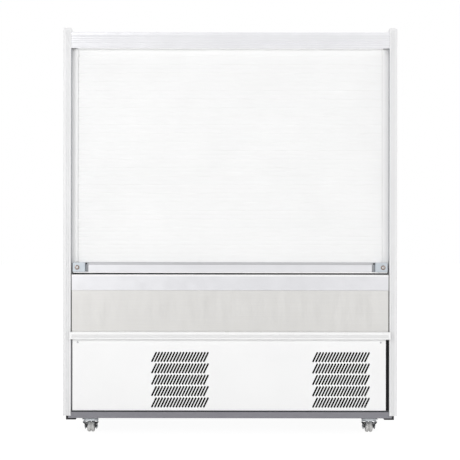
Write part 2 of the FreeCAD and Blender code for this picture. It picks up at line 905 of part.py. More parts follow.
def lock_bolt():
    """Right bolt, slotted for the crank pin."""
    bolt = box(bolt_x, bolt_y, bolt_z)
    pin_x = barrel_x - crank_radius * math.sin(crank_angle)
    reach = crank_pin_radius + crank_play
    slot = box(centred(pin_x, 2 * reach), (bolt_y[0] - seam, bolt_y[1] + seam),
               (barrel_z + crank_radius * math.cos(crank_angle) - reach,
                barrel_z + crank_radius + reach))
    return bolt.cut(slot)


# ---- Display space ----
def rear_duct_panel():
    """Slotted rear wall of the display space, with a ledge for the deck trays."""
    ledge_z = deck_height - deck_edge - sheet
    path = [(duct_face_y - duct_ledge, ledge_z), (duct_face_y, ledge_z),
            (duct_face_y, ceiling_height)]
    panel = folded_sheet(path[::-1], sheet, (-inner_x, inner_x))
    holes = []
    rise = (ceiling_height - deck_height) / (duct_hole_rows + 1)
    for row in range(duct_hole_rows):
        z = deck_height + (row + 1) * rise
        for column in range(duct_hole_columns):
            x = (column - (duct_hole_columns - 1) / 2) * duct_hole_pitch
            holes.append(box(centred(x, duct_hole_length),
                             (duct_face_y - 2 * sheet, duct_face_y + 2 * sheet),
                             centred(z, duct_hole_height)))
    return panel.cut(Part.makeCompound(holes))


def ceiling_duct_panel():
    """Ceiling of the display space, between the air outlet and the rear duct panel."""
    return box((-inner_x, inner_x), (box_back_y + honeycomb_depth, duct_face_y - sheet),
               (ceiling_height - sheet, ceiling_height))


def air_honeycomb():
    """Air outlet: a rimmed strip of square cells."""
    y = (box_back_y, box_back_y + honeycomb_depth)
    z = centred(ceiling_height, honeycomb_height)
    strip = box((-inner_x, inner_x), y, z)
    pitch = (2 * inner_x - 2 * honeycomb_rim) / honeycomb_cells
    middle = (y[0] + y[1]) / 2
    rows = ((y[0] + honeycomb_rim, middle - honeycomb_wall / 2),
            (middle + honeycomb_wall / 2, y[1] - honeycomb_rim))
    cells = []
    for i in range(honeycomb_cells):
        x = centred(honeycomb_rim - inner_x + (i + 0.5) * pitch, pitch - honeycomb_wall)
        for row in rows:
            cells.append(box(x, row, (z[0] - seam, z[1] + seam)))
    return strip.cut(Part.makeCompound(cells))


def light_strip():
    """Light under the shutter box: an aluminium channel and the lens in its mouth."""
    x = centred(0, light_length)
    y0 = box_front_y + light_front_gap
    y = (y0, y0 + light_depth)
    z = (box_floor_z - light_height, box_floor_z)
    channel = box(x, y, z).cut(box((x[0] - seam, x[1] + seam), (y[0] + light_sheet, y[1] - light_sheet),
                                   (z[0] - seam, z[1] - light_sheet)))
    lens = box(x, (y[0] + light_sheet, y[1] - light_sheet), (z[0], z[0] + 2 * light_sheet))
    return [channel, lens]


def return_grille():
    """Slotted air return: hooked over the well's front wall, sloped down to the deck."""
    ledge_z = deck_height - deck_edge
    wall_y = well_front_y + well_wall
    path = [(well_front_y + cap_sheet, well_top), (wall_y + seam, well_top),
            (deck_front_y - heavy_sheet, deck_height), (deck_front_y - heavy_sheet, ledge_z - sheet),
            (deck_front_y + duct_ledge, ledge_z - sheet)]
    panel = folded_sheet(path, sheet, (-inner_x, inner_x))
    slots = []
    span = inner_x - grille_slot_pitch
    count = int(2 * span / grille_slot_pitch)
    y = (wall_y + grille_slot_margin, deck_front_y - heavy_sheet - grille_slot_margin)
    slot_z = (min(deck_height, well_top) - seam, max(deck_height, well_top) + 2 * seam)
    for i in range(count):
        x = (i - (count - 1) / 2) * grille_slot_pitch
        slots.append(box(centred(x, grille_slot_width), y, slot_z))
    return panel.cut(Part.makeCompound(slots))


def deck_trays():
    """Trays side by side over the well, open underneath."""
    width = (2 * inner_x - (tray_count + 1) * tray_gap) / tray_count
    y = (deck_front_y, duct_face_y - 2 * sheet)
    z = (deck_height - deck_edge, deck_height)
    trays = []
    for i in range(tray_count):
        x0 = tray_gap - inner_x + i * (width + tray_gap)
        tray = box((x0, x0 + width), y, z)
        inside = box((x0 + sheet, x0 + width - sheet), (y[0] + sheet, y[1] - sheet),
                     (z[0] - seam, z[1] - sheet))
        trays.append(tray.cut(inside))
    return trays


# ---- Shelves ----
def shelf_tops():
    """Height of each shelf's top."""
    return [deck_height + shelf_first_rise + i * shelf_pitch for i in range(shelf_count)]


def shelves():
    """Shelf plates, each with a deep front edge and a shallower back edge."""
    back = upright_front_y - sheet
    front = back - shelf_depth
    plates = []
    for top in shelf_tops():
        path = [(front, top - shelf_front_edge), (front, top), (back, top),
                (back, top - shelf_back_edge)]
        plates.append(folded_sheet(path[::-1], sheet, (-shelf_half, shelf_half)))
    return plates


def shelf_brackets():
    """Tapered bracket at each end of each shelf, with two tabs in the upright's slots."""
    back = upright_front_y
    front = back - sheet - shelf_depth + bracket_short
    step = shelf_pitch / slots_per_shelf
    brackets = []
    for top in shelf_tops():
        corners = [(front, top - bracket_front_height, 0), (back, top - bracket_back_height, 0),
                   (back, top, 0), (front, top, 0)]
        x = (shelf_half, shelf_half + bracket_sheet)
        plate = along_x(corners, x)
        tabs = []
        for slot in (1, 2):
            z = centred(top - (slot - 0.5) * step, tab_height)
            tabs.append(box(x, (back - seam, back + tab_reach), z))
        brackets.extend(both_sides(joined([plate] + tabs)))
    return brackets


def ticket_strips():
    """Ticket strip clipped along the front of each shelf."""
    front = upright_front_y - sheet - shelf_depth
    strips = []
    for top in shelf_tops():
        low = top + ticket_rise - ticket_height
        high = top + ticket_rise
        y0 = front - ticket_depth
        corners = [(y0, low, 0), (front, low, 0), (front, high, 0), (y0, high, 0),
                   (y0, high - ticket_lip, 0), (y0 + ticket_lip, high - 2 * ticket_lip, 0),
                   (y0 + ticket_lip, low + 2 * ticket_lip, 0), (y0, low + ticket_lip, 0)]
        strips.append(along_x(corners, (-shelf_half, shelf_half)))
    return strips


def shelf_upright():
    """Right slotted upright in front of the rear duct panel."""
    x = (inner_x - upright_inset - upright_width, inner_x - upright_inset)
    y = (upright_front_y, duct_face_y - sheet)
    z = (deck_height, ceiling_height - sheet)
    channel = box(x, y, z)
    channel = channel.cut(box((x[0] + upright_sheet, x[1] - upright_sheet),
                              (y[0] + upright_sheet, y[1] + seam), (z[0] - seam, z[1] + seam)))
    step = shelf_pitch / slots_per_shelf
    slot_x = centred((x[0] + x[1]) / 2 + (bracket_sheet - slot_width) / 2, slot_width)
    slots = []
    highest = shelf_tops()[-1] + shelf_pitch - 3 * step
    slot_z = highest
    while slot_z > deck_height + step:
        slots.append(box(slot_x, (y[0] - seam, y[0] + upright_sheet + seam),
                         centred(slot_z + step / 2, slot_height)))
        slot_z -= step
    return channel.cut(Part.makeCompound(slots))


# ---- Cooling ----
def finned_block(x, y, z, fins, spine):
    """Block of upright fins on a spine, from one comb-shaped outline."""
    pitch = (x[1] - x[0]) / fins
    fin = pitch * coil_fin_share
    edge = y[1] - spine
    corners = [(x[0], y[1], 0), (x[0], y[0], 0)]
    for i in range(fins):
        start = x[0] + i * pitch
        if i:
            corners.extend([(start, edge, 0), (start, y[0], 0)])
        corners.append((start + fin, y[0], 0))
        corners.append((start + fin, edge, 0))
    corners.extend([(x[1], edge, 0), (x[1], y[1], 0)])
    return along_z(corners, z)


def evaporator_coil():
    """Finned coil between two end plates that stand on the well's floor."""
    x = centred(0, coil_length)
    low = well_floor + coil_lift
    block = finned_block(x, coil_y, (low, low + coil_height), coil_fins, coil_spine)
    plate = box((x[1] - seam, x[1] + coil_end_plate), coil_y,
                (well_floor, low + coil_height + coil_end_top))
    return joined([block] + both_sides(plate))


def axial_fan(x, y, z, radius, hub_radius):
    """Fan along Y: a bored hub and straight pitched blades with round tips."""
    hub = rod_y(hub_radius, x, y, z)
    depth = y[1] - y[0]
    chord = (depth - 2 * blade_sheet) / math.sin(math.radians(blade_pitch))
    middle = V(x, (y[0] + y[1]) / 2, z)
    blades = []
    for i in range(fan_blades):
        blade = Part.makeBox(chord, blade_sheet, radius,
                             middle + V(-chord / 2, -blade_sheet / 2, hub_radius - 3 * blade_sheet))
        blade.rotate(middle, V(0, 0, 1), blade_pitch)
        blade.rotate(middle, V(0, 1, 0), i * 360 / fan_blades)
        blades.append(blade)
    reach = rod_y(radius, x, y, z)
    wheel = joined([hub] + [blade.common(reach) for blade in blades])
    return wheel.cut(rod_y(shaft_radius + running_gap, x, (y[0] - seam, y[1] + seam), z))


def fan_motor(x, plate_y, z, hole_radius):
    """Motor on struts behind a fan plate, with its shaft through the hub."""
    hub_y = (plate_y - fan_lead, plate_y - fan_lead + fan_depth)
    motor_y = (hub_y[1] + motor_gap, hub_y[1] + motor_gap + motor_length)
    motor = rod_y(motor_radius, x, motor_y, z)
    shaft = rod_y(shaft_radius, x, (hub_y[0], motor_y[0] + seam), z)
    strut_y = (motor_y[0] + strut_setback, motor_y[0] + strut_setback + strut_sheet)
    parts = [motor, shaft]
    middle = V(x, 0, z)
    for i in range(strut_count):
        bar = box(centred(x, strut_width), strut_y,
                  (z + motor_radius - 2 * seam, z + hole_radius + strut_overlap))
        leg = box(centred(x, strut_width), (plate_y, strut_y[1]),
                  (z + hole_radius + strut_overlap - strut_sheet, z + hole_radius + strut_overlap))
        for piece in (bar, leg):
            piece.rotate(middle, V(0, 1, 0), i * 360 / strut_count)
            parts.append(piece)
    return parts


def evaporator_fan_plate():
    """Upright plate across the well, holding the evaporator fan motors."""
    y = (fan_plate_y, fan_plate_y + sheet)
    plate = box((-inner_x, inner_x), y, (well_floor, deck_height - deck_edge - 2 * sheet))
    hole_radius = evaporator_fan_radius + fan_tip_gap
    motors = []
    for side in (-1, 1):
        x = side * evaporator_fan_x
        plate = plate.cut(rod_y(hole_radius, x, (y[0] - seam, y[1] + seam), evaporator_fan_z))
        motors.extend(fan_motor(x, fan_plate_y, evaporator_fan_z, hole_radius))
    return joined([plate] + motors)


def evaporator_fan(side):
    """Fan in one hole of the evaporator fan plate."""
    start = fan_plate_y - fan_lead
    return axial_fan(side * evaporator_fan_x, (start, start + fan_depth), evaporator_fan_z,
                     evaporator_fan_radius, evaporator_hub_radius)


def condenser_coil():
    """Finned condenser between two end plates that stand on the base tray."""
    y = (condenser_front, condenser_front + condenser_depth)
    block = finned_block(condenser_x, y, condenser_z, condenser_fins, coil_spine)
    left = box((condenser_x[0] - coil_end_plate, condenser_x[0] + seam), y,
               (tray_floor, condenser_z[1]))
    right = box((condenser_x[1] - seam, condenser_x[1] + coil_end_plate), y,
                (tray_floor, condenser_z[1]))
    stub_x = (condenser_x[1] + coil_end_plate - seam, condenser_x[1] + stub_length)
    stubs = []
    for z in (condenser_z[1] - stub_length, liquid_height):
        stubs.append(rod_x(stub_radius, stub_x, (y[0] + y[1]) / 2, z))
    return joined([block, left, right] + stubs)


def fan_shroud():
    """Box behind the condenser with the fan's hole, and the fan motor on its struts."""
    y0 = condenser_front + condenser_depth
    x = condenser_x
    z = (tray_floor, condenser_z[1])
    shroud = box(x, (y0, y0 + shroud_depth), z)
    shroud = shroud.cut(box((x[0] + sheet, x[1] - sheet), (y0 - seam, y0 + shroud_depth - sheet),
                            (z[0] + sheet, z[1] - sheet)))
    hole_radius = condenser_fan_radius + fan_tip_gap
    plate_y = y0 + shroud_depth - sheet
    shroud = shroud.cut(rod_y(hole_radius, condenser_fan_x, (plate_y - seam, plate_y + 2 * sheet),
                              condenser_fan_z))
    return joined([shroud] + fan_motor(condenser_fan_x, plate_y, condenser_fan_z, hole_radius))


def condenser_fan():
    """Fan in the shroud's hole."""
    plate_y = condenser_front + condenser_depth + shroud_depth - sheet
    start = plate_y - fan_lead
    return axial_fan(condenser_fan_x, (start, start + fan_depth), condenser_fan_z,
                     condenser_fan_radius, condenser_hub_radius)


def compressor():
    """Sealed compressor: domed can with a seam, base plate on grommets, two pipe stubs."""
    x, y = compressor_x, compressor_y
    foot_z = tray_floor + compressor_foot_height
    half = compressor_foot_size / 2
    foot = box((x - half, x + half), (y - half, y + half), (foot_z, foot_z + compressor_foot_sheet))
    can_low = foot_z + compressor_foot_sheet - seam
    can_high = can_low + compressor_body_height
    can = rod_z(compressor_radius, x, y, (can_low, can_high))
    can = rounded_can(can, can_high)
    seam_z = centred((can_low + can_high) / 2, compressor_seam_height)
    ring = rod_z(compressor_seam_radius, x, y, seam_z)
    grommets = []
    for dx in (-1, 1):
        for dy in (-1, 1):
            reach = half - grommet_radius
            grommets.append(rod_z(grommet_radius, x + dx * reach, y + dy * reach,
                                  (tray_floor, foot_z + seam)))
    end = compressor_radius + stub_length
    inlet = rod_x(stub_radius, (x + compressor_radius - 2 * stub_radius, x + end), y,
                  tray_floor + suction_height)
    outlet = rod_x(stub_radius, (x - end, x - compressor_radius + 2 * stub_radius), y,
                   tray_floor + discharge_height)
    return joined([foot, can, ring, inlet, outlet] + grommets)


def rounded_can(can, top):
    """Can with its top edge rounded into a dome."""
    edges = []
    for edge in can.Edges:
        if len(edge.Vertexes) == 1 and abs(edge.Vertexes[0].Z - top) < touch_gap:
            edges.append(edge)
    return can.makeFillet(compressor_dome, edges)


def refrigerant_pipes():
    """Discharge, liquid and suction lines, each from one pipe stub to the next."""
    x, y = compressor_x, compressor_y
    coil_middle = condenser_front + condenser_depth / 2
    port_x = condenser_x[1] + stub_length
    out_x = x - compressor_radius - stub_length
    out_z = tray_floor + discharge_height
    port_z = condenser_z[1] - stub_length
    knee_x = port_x + discharge_run
    discharge = pipe([V(out_x, y, out_z), V(knee_x, y, out_z), V(knee_x, y, port_z),
                      V(knee_x, coil_middle, port_z), V(port_x, coil_middle, port_z)],
                     pipe_radius, pipe_bend / 2)
    liquid = pipe([V(port_x, coil_middle, liquid_height), V(liquid_x, coil_middle, liquid_height),
                   V(liquid_x, liquid_y, liquid_height), V(liquid_x, liquid_y, well_floor + coil_lift)],
                  pipe_radius, pipe_bend / 2)
    in_x = x + compressor_radius + stub_length
    in_z = tray_floor + suction_height
    suction = pipe([V(in_x, y, in_z), V(pipe_rise_x, y, in_z), V(pipe_rise_x, suction_y, in_z),
                    V(pipe_rise_x, suction_y, well_floor + coil_lift)],
                   pipe_radius, pipe_bend / 2)
    return [discharge, liquid, suction]


def evaporation_tray():
    """Open tray on the base, which catches the defrost water."""
    z = (tray_floor, tray_floor + drip_tray_height)
    wall = drip_tray_wall
    outer = box(drip_tray_x, drip_tray_y, z)
    return outer.cut(box((drip_tray_x[0] + wall, drip_tray_x[1] - wall),
                         (drip_tray_y[0] + wall, drip_tray_y[1] - wall), (z[0] + wall, z[1] + seam)))


# ---- Electrical ----
def control_box():
    """Steel box on the base tray with a flat keypad and a hole for the switch."""
    z = (tray_floor, tray_floor + control_height)
    body = box(control_x, control_y, z)
    body = body.cut(box((control_x[0] + sheet, control_x[1] - sheet),
                        (control_y[0] + sheet, control_y[1] - sheet), (z[0] + sheet, z[1] - sheet)))
    switch_z = z[1] - switch_drop
    body = body.cut(box(centred(switch_x, switch_width + 2 * touch_gap),
                        (control_y[0] - seam, control_y[0] + 2 * sheet),
                        centred(switch_z, switch_height + 2 * touch_gap)))
    keypad = box(keypad_x, (control_y[0] - keypad_sheet, control_y[0]),
                 (z[1] - keypad_drop - keypad_height, z[1] - keypad_drop))
    axle = rod_x(sheet, centred(switch_x, switch_width + 2 * switch_frame + sheet),
                 control_y[0] + switch_depth / 2, switch_z)
    ears = []
    for side in (-1, 1):
        ear_x = centred(switch_x + side * (switch_width / 2 + switch_frame), sheet)
        ears.append(box(ear_x, (control_y[0] + sheet - touch_gap, control_y[0] + switch_depth),
                        centred(switch_z, switch_depth)))
    return [joined([body, axle] + ears), keypad]


def power_switch():
    """Rocker on a cross pin, its face bent to two flats, tilted to its off side."""
    z = tray_floor + control_height - switch_drop
    y0 = control_y[0]
    half = switch_height / 2 - switch_frame
    proud = half * math.tan(math.radians(switch_tilt))
    corners = [(y0, z, 0), (y0 - proud, z + half, 0), (y0 + switch_depth / 2, z + half, 0),
               (y0 + switch_depth, z, 0), (y0 + switch_depth / 2, z - half, 0),
               (y0 - proud, z - half, 0)]
    rocker = along_x(corners, centred(switch_x, switch_width))
    rocker = rocker.cut(rod_x(sheet + running_gap, centred(switch_x, switch_width + 2 * seam),
                              y0 + switch_depth / 2, z))
    rocker.rotate(V(switch_x, y0 + switch_depth / 2, z), V(1, 0, 0), -switch_tilt)
    return rocker


def mains_gland():
    """Cable gland through the back panel: flange outside, bored for the cable."""
    body = rod_y(gland_radius, gland_x, (back_face_y - gland_inside, back_y), gland_z)
    nut = rod_y(gland_flange_radius, gland_x, (back_face_y - gland_flange, back_face_y), gland_z)
    bore = rod_y(gland_bore, gland_x, (back_face_y - gland_inside - seam, back_y + seam), gland_z)
    return joined([body, nut]).cut(bore)


# ---- Casters ----
def caster_places():
    """Swivel axis of each caster: name, x and y."""
    return [("front_left", -caster_x, caster_front_y), ("front_right", caster_x, caster_front_y),
            ("rear_left", -caster_x, caster_back_y), ("rear_right", caster_x, caster_back_y)]


def caster_plate(x, y):
    """Spacer under the tray, top plate, and king pin headed under the fork's crown."""
    pad = box(centred(x, caster_pad_size), centred(y, caster_pad_size),
              (caster_plate_z[1], tray_bottom))
    plate = box(centred(x, caster_plate_size), centred(y, caster_plate_size), caster_plate_z)
    head_top = crown_low - touch_gap
    pin = rod_z(king_pin_radius, x, y, (head_top - king_head, caster_plate_z[0] + seam))
    head = rod_z(king_head_radius, x, y, (head_top - king_head, head_top))
    return joined([pad, plate, pin, head])


def caster_fork(x, y, arm_gap):
    """Swivel fork: race, folded crown with splayed legs, and the axle with its nuts."""
    ring_low, ring_top = swivel_z
    ring = rod_z(swivel_radius, x, y, (ring_low, ring_top))
    ring = ring.makeFillet(swivel_corner, [e for e in ring.Edges if len(e.Vertexes) == 1])
    leg = wheel_width / 2 + fork_gap
    crown = crown_low
    foot = wheel_radius - fork_foot
    neck = wheel_radius + fork_neck_rise
    half = fork_crown_half
    path = [(leg, foot), (leg, neck), (half, crown - fork_crown_drop), (half, crown),
            (-half, crown), (-half, crown - fork_crown_drop), (-leg, neck), (-leg, foot)]
    axle_y = y + caster_trail
    sides = (y - fork_front, axle_y + fork_back)
    corners = folded_corners(path[::-1], fork_sheet)
    face = outline(corners, lambda p: V(x + p.x, sides[0], p.y))
    legs = face.extrude(V(0, sides[1] - sides[0], 0))
    wide = (x - 2 * half, x + 2 * half)
    shape = along_x([(sides[0], crown - fork_crown_drop, 0), (axle_y - fork_back, foot, fork_foot / 2),
                     (sides[1], foot, fork_foot / 2), (sides[1], ring_low, 0),
                     (sides[0], ring_low, 0)], wide)
    legs = legs.common(shape)
    reach = leg + fork_sheet + arm_gap + axle_nut_gap + axle_nut
    parts = [ring, legs, rod_x(axle_radius, centred(x, 2 * reach), axle_y, wheel_radius)]
    for side in (-1, 1):
        low, high = sorted((x + side * (reach - axle_nut), x + side * reach))
        parts.append(rod_x(axle_nut_radius, (low, high), axle_y, wheel_radius))
    fork = joined(parts)
    return fork.cut(rod_z(king_pin_radius + running_gap, x, y, (crown - seam, ring_top + seam)))


def caster_wheel(x, y):
    """Twin-lobed wheel: round shoulders and a groove round the middle."""
    axle_y = y + caster_trail
    half = wheel_width / 2
    groove = wheel_groove / 2
    foot = wheel_groove_foot / 2
    bore = axle_radius + running_gap
    top = wheel_radius
    low = top - wheel_groove_depth
    points = [(-half, bore, 0), (half, bore, 0), (half, top, wheel_shoulder),
              (groove, top, wheel_groove_corner), (foot, low, 0), (-foot, low, 0),
              (-groove, top, wheel_groove_corner), (-half, top, wheel_shoulder)]
    face = outline(points, lambda p: V(x + p.x, axle_y, wheel_radius + p.y))
    return face.revolve(V(x, axle_y, wheel_radius), V(1, 0, 0), 360)


def caster_brake(x, y):
    """Brake lever: a splayed arm each side of the fork and a pedal behind the wheel."""
    axle_y = y + caster_trail
    inner = wheel_width / 2 + fork_gap + fork_sheet + brake_gap
    low = wheel_radius - brake_arm
    neck = wheel_radius + fork_neck_rise
    high = wheel_radius + brake_wing_rise
    splay = (fork_crown_half - wheel_width / 2 - fork_gap) / (crown_low - fork_crown_drop - neck)
    path = [(inner, low), (inner, neck), (inner + splay * (high - neck), high)]
    corners = folded_corners(path[::-1], brake_sheet)
    y_range = (axle_y - brake_arm, axle_y + brake_arm)
    parts = []
    for side in (-1, 1):
        face = outline(corners, lambda p: V(x + side * p.x, y_range[0], p.y))
        parts.append(face.extrude(V(0, y_range[1] - y_range[0], 0)))
        arm_x = sorted((x + side * inner, x + side * (inner + brake_sheet)))
        pedal_start = axle_y + wheel_radius + brake_pedal_gap
        parts.append(along_x([(axle_y, low, 0), (y_range[1], low, 0),
                              (pedal_start + brake_sheet, brake_pedal_z, 0),
                              (pedal_start + brake_sheet, brake_pedal_z + brake_pedal_sheet, 0),
                              (y_range[1], neck, 0), (axle_y, neck, 0)], arm_x))
    pedal_y = (pedal_start, pedal_start + brake_pedal_length)
    pedal = box(centred(x, 2 * (inner + brake_sheet)), pedal_y,
                (brake_pedal_z, brake_pedal_z + brake_pedal_sheet))
    lever = joined(parts + [pedal])
    return lever.cut(rod_x(axle_radius + brake_bore_gap,
                           centred(x, 2 * (inner + brake_sheet + seam)), axle_y, wheel_radius))


# ---- The object ----
def build():
    """Write each node of the cabinet."""
    panel = end_panel()
    save("end_panel_right", [panel])
    save("end_panel_left", [mirrored(panel)])
    save("end_trims", both_sides(end_trim()))
    save("back_panel", [back_panel()])
    save("top_panel", [top_panel()])
    save("insulated_well", [insulated_well()])
    save("base_frame", [base_frame()])
    save("plinth_rail", [plinth_rail()])
    save("end_skids", both_sides(end_skid()))
    save("top_fascia", [top_fascia()])
    save("front_cap_rail", [front_cap_rail()])
    save("front_steel_panel", [front_steel_panel()])
    save("bumper_rail", [bumper_rail()])
    save("service_panel", [service_panel()])
    save("service_screws", [service_screw(x) for x in screw_places])

    save("shutter_box", shutter_box())
    save("guide_rails", both_sides(guide_rail()))
    save("shutter_roller", [shutter_roller()])
    save("shutter_curtain", [shutter_curtain()])
    save("shutter_bottom_rail", [shutter_bottom_rail()])
    save("shutter_seal", [shutter_seal()])
    save("lock_cases", both_sides(lock_case()))
    barrel = lock_barrel()
    save("lock_barrel_right", [barrel])
    save("lock_barrel_left", [mirrored(barrel)])
    bolt = lock_bolt()
    save("lock_bolt_right", [bolt])
    save("lock_bolt_left", [mirrored(bolt)])

    save("rear_duct_panel", [rear_duct_panel()])
    save("ceiling_duct_panel", [ceiling_duct_panel()])
    save("air_honeycomb", [air_honeycomb()])
    save("light_strip", light_strip())
    save("return_grille", [return_grille()])
    save("deck_trays", deck_trays())
    save("shelves", shelves())
    save("shelf_brackets", shelf_brackets())
    save("ticket_strips", ticket_strips())
    save("shelf_uprights", both_sides(shelf_upright()))

    save("evaporator_coil", [evaporator_coil()])
    save("evaporator_fan_plate", [evaporator_fan_plate()])
    save("evaporator_fan_left", [evaporator_fan(-1)])
    save("evaporator_fan_right", [evaporator_fan(1)])
    save("compressor", [compressor()])
    save("condenser_coil", [condenser_coil()])
    save("fan_shroud", [fan_shroud()])
    save("condenser_fan", [condenser_fan()])
    save("evaporation_tray", [evaporation_tray()])
    save("refrigerant_pipes", refrigerant_pipes())
    save("control_box", control_box())
    save("power_switch", [power_switch()])
    save("mains_gland", [mains_gland()])

    save("caster_plates", [caster_plate(x, y) for name, x, y in caster_places()])
    for name, x, y in caster_places():
        braked = name.startswith("front")
        save("caster_fork_" + name, [caster_fork(x, y, brake_gap + brake_sheet if braked else 0)])
        save("caster_wheel_" + name, [caster_wheel(x, y)])
        if braked:
            save("caster_brake_" + name, [caster_brake(x, y)])


build()
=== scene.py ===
"""Studio scene of a multideck display fridge with its front shutter drawn down.

Metres. X is the width, Y the depth with the front towards -Y, Z is up from the floor.
Outlines and small sizes are given in millimetres and turned to metres with MM.
"""
import math

import bmesh
import bpy
from mathutils import Matrix, Vector
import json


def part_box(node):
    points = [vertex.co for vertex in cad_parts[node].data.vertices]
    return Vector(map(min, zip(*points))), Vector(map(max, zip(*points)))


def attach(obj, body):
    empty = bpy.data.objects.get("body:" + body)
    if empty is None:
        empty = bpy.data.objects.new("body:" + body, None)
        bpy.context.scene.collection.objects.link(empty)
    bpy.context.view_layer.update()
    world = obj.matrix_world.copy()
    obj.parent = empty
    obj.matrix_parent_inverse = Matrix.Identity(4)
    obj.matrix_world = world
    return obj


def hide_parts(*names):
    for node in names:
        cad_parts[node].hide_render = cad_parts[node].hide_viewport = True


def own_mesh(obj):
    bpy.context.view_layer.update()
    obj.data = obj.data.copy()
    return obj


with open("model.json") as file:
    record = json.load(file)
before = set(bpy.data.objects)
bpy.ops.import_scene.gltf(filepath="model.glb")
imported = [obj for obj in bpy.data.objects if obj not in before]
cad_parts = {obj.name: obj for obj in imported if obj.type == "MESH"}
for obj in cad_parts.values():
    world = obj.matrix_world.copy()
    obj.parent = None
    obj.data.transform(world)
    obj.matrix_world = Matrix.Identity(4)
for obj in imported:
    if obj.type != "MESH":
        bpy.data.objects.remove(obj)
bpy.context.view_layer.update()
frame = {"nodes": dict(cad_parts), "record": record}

MM = 0.001
LEFT, RIGHT = -1, 1
SIDES = (LEFT, RIGHT)

# ---- Camera, floor and light ----
FRONT_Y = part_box("end_trims")[0].y
TOP_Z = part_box("end_trims")[1].z
CAMERA_DISTANCE = 6.2
CAMERA_BELOW_TOP = 0.9073
CAMERA_X = -0.0009
CAMERA_ROLL = math.radians(0.08)
VIEW_WIDTH = 2.0655
SENSOR = 36.0

WHITE = (1.0, 1.0, 1.0, 1.0)
WORLD_LEVEL = 0.50
FLOOR_HALF_SIZE = 30.0
FLOOR_COLOR = (0.90, 0.90, 0.90, 1.0)
FLOOR_GLOW = 1.13
FLOOR_GLOW_SHARE = 0.84

LIT_POINT = (0.0, 0.0, 0.95)
LAMPS = {
    "key": dict(place=(-3.4, -5.2, 2.1), width=2.4, height=2.2, level=0.262),
    "fill": dict(place=(3.8, -5.1, 1.8), width=2.4, height=2.2, level=0.176),
    "sheen": dict(place=(-2.7, -6.0, 1.0), width=1.5, height=2.6, level=0.02),
    "top": dict(place=(0.0, -0.4, 4.6), width=4.0, height=2.6, level=0.16),
    "rear_left": dict(place=(-3.6, 4.6, 2.8), width=3.0, height=3.0, level=0.10),
    "rear_right": dict(place=(4.6, 3.4, 3.2), width=2.4, height=2.4, level=0.20),
}


def add_camera():
    """Level camera in front of the cabinet, at about half its height."""
    data = bpy.data.cameras.new("camera")
    data.sensor_width = SENSOR
    data.lens = SENSOR * CAMERA_DISTANCE / VIEW_WIDTH
    camera = bpy.data.objects.new("camera", data)
    camera.location = (CAMERA_X, FRONT_Y - CAMERA_DISTANCE, TOP_Z - CAMERA_BELOW_TOP)
    level = Matrix.Rotation(math.radians(90), 4, "X")
    camera.rotation_euler = (level @ Matrix.Rotation(CAMERA_ROLL, 4, "Z")).to_euler()
    bpy.context.scene.collection.objects.link(camera)
    bpy.context.scene.camera = camera


def add_softbox(name, place, width, height, level):
    """Area light that adds the given level to a white surface facing it at the lit point."""
    data = bpy.data.lights.new(name, "AREA")
    data.shape = "RECTANGLE"
    data.size = width
    data.size_y = height
    away = Vector(place) - Vector(LIT_POINT)
    data.energy = level * math.pi * math.pi * away.length_squared
    light = bpy.data.objects.new(name, data)
    light.location = place
    light.rotation_euler = away.to_track_quat("Z", "Y").to_euler()
    bpy.context.scene.collection.objects.link(light)


def larger(tree, first, second):
    """The larger of two values."""
    node = tree.nodes.new("ShaderNodeMath")
    node.operation = "MAXIMUM"
    tree.links.new(first, node.inputs[0])
    tree.links.new(second, node.inputs[1])
    return node.outputs[0]


def seen_background(tree, lit, white):
    """Shader that is white to the camera, in metal and through glass, and lit elsewhere."""
    path = tree.nodes.new("ShaderNodeLightPath")
    seen = larger(tree, path.outputs["Is Camera Ray"], path.outputs["Is Glossy Ray"])
    seen = larger(tree, seen, path.outputs["Is Transmission Ray"])
    mix = tree.nodes.new("ShaderNodeMixShader")
    tree.links.new(seen, mix.inputs[0])
    tree.links.new(lit, mix.inputs[1])
    tree.links.new(white, mix.inputs[2])
    return mix.outputs[0]


def background(tree, strength):
    """White background shader of a given strength."""
    node = tree.nodes.new("ShaderNodeBackground")
    node.inputs["Color"].default_value = WHITE
    node.inputs["Strength"].default_value = strength
    return node.outputs[0]


def add_world():
    """Even studio fill, seen as white."""
    world = bpy.data.worlds.new("studio")
    bpy.context.scene.world = world
    world.use_nodes = True
    tree = world.node_tree
    tree.nodes.clear()
    fill = background(tree, WORLD_LEVEL)
    white = background(tree, 1.0)
    out = tree.nodes.new("ShaderNodeOutputWorld")
    tree.links.new(seen_background(tree, fill, white), out.inputs["Surface"])


def add_floor():
    """Pale floor that keeps a soft shadow and otherwise meets the white background."""
    mesh = bpy.data.meshes.new("floor")
    bm = bmesh.new()
    bmesh.ops.create_grid(bm, x_segments=1, y_segments=1, size=FLOOR_HALF_SIZE)
    bm.to_mesh(mesh)
    bm.free()
    floor = bpy.data.objects.new("floor", mesh)
    bpy.context.scene.collection.objects.link(floor)
    mat = bpy.data.materials.new("floor")
    mat.use_nodes = True
    tree = mat.node_tree
    tree.nodes.clear()
    diffuse = tree.nodes.new("ShaderNodeBsdfDiffuse")
    diffuse.inputs["Color"].default_value = FLOOR_COLOR
    glow = tree.nodes.new("ShaderNodeEmission")
    glow.inputs["Color"].default_value = WHITE
    glow.inputs["Strength"].default_value = FLOOR_GLOW
    soft = tree.nodes.new("ShaderNodeMixShader")
    soft.inputs[0].default_value = FLOOR_GLOW_SHARE
    tree.links.new(diffuse.outputs[0], soft.inputs[1])
    tree.links.new(glow.outputs[0], soft.inputs[2])
    out = tree.nodes.new("ShaderNodeOutputMaterial")
    surface = seen_background(tree, diffuse.outputs[0], soft.outputs[0])
    tree.links.new(surface, out.inputs["Surface"])
    mesh.materials.append(mat)


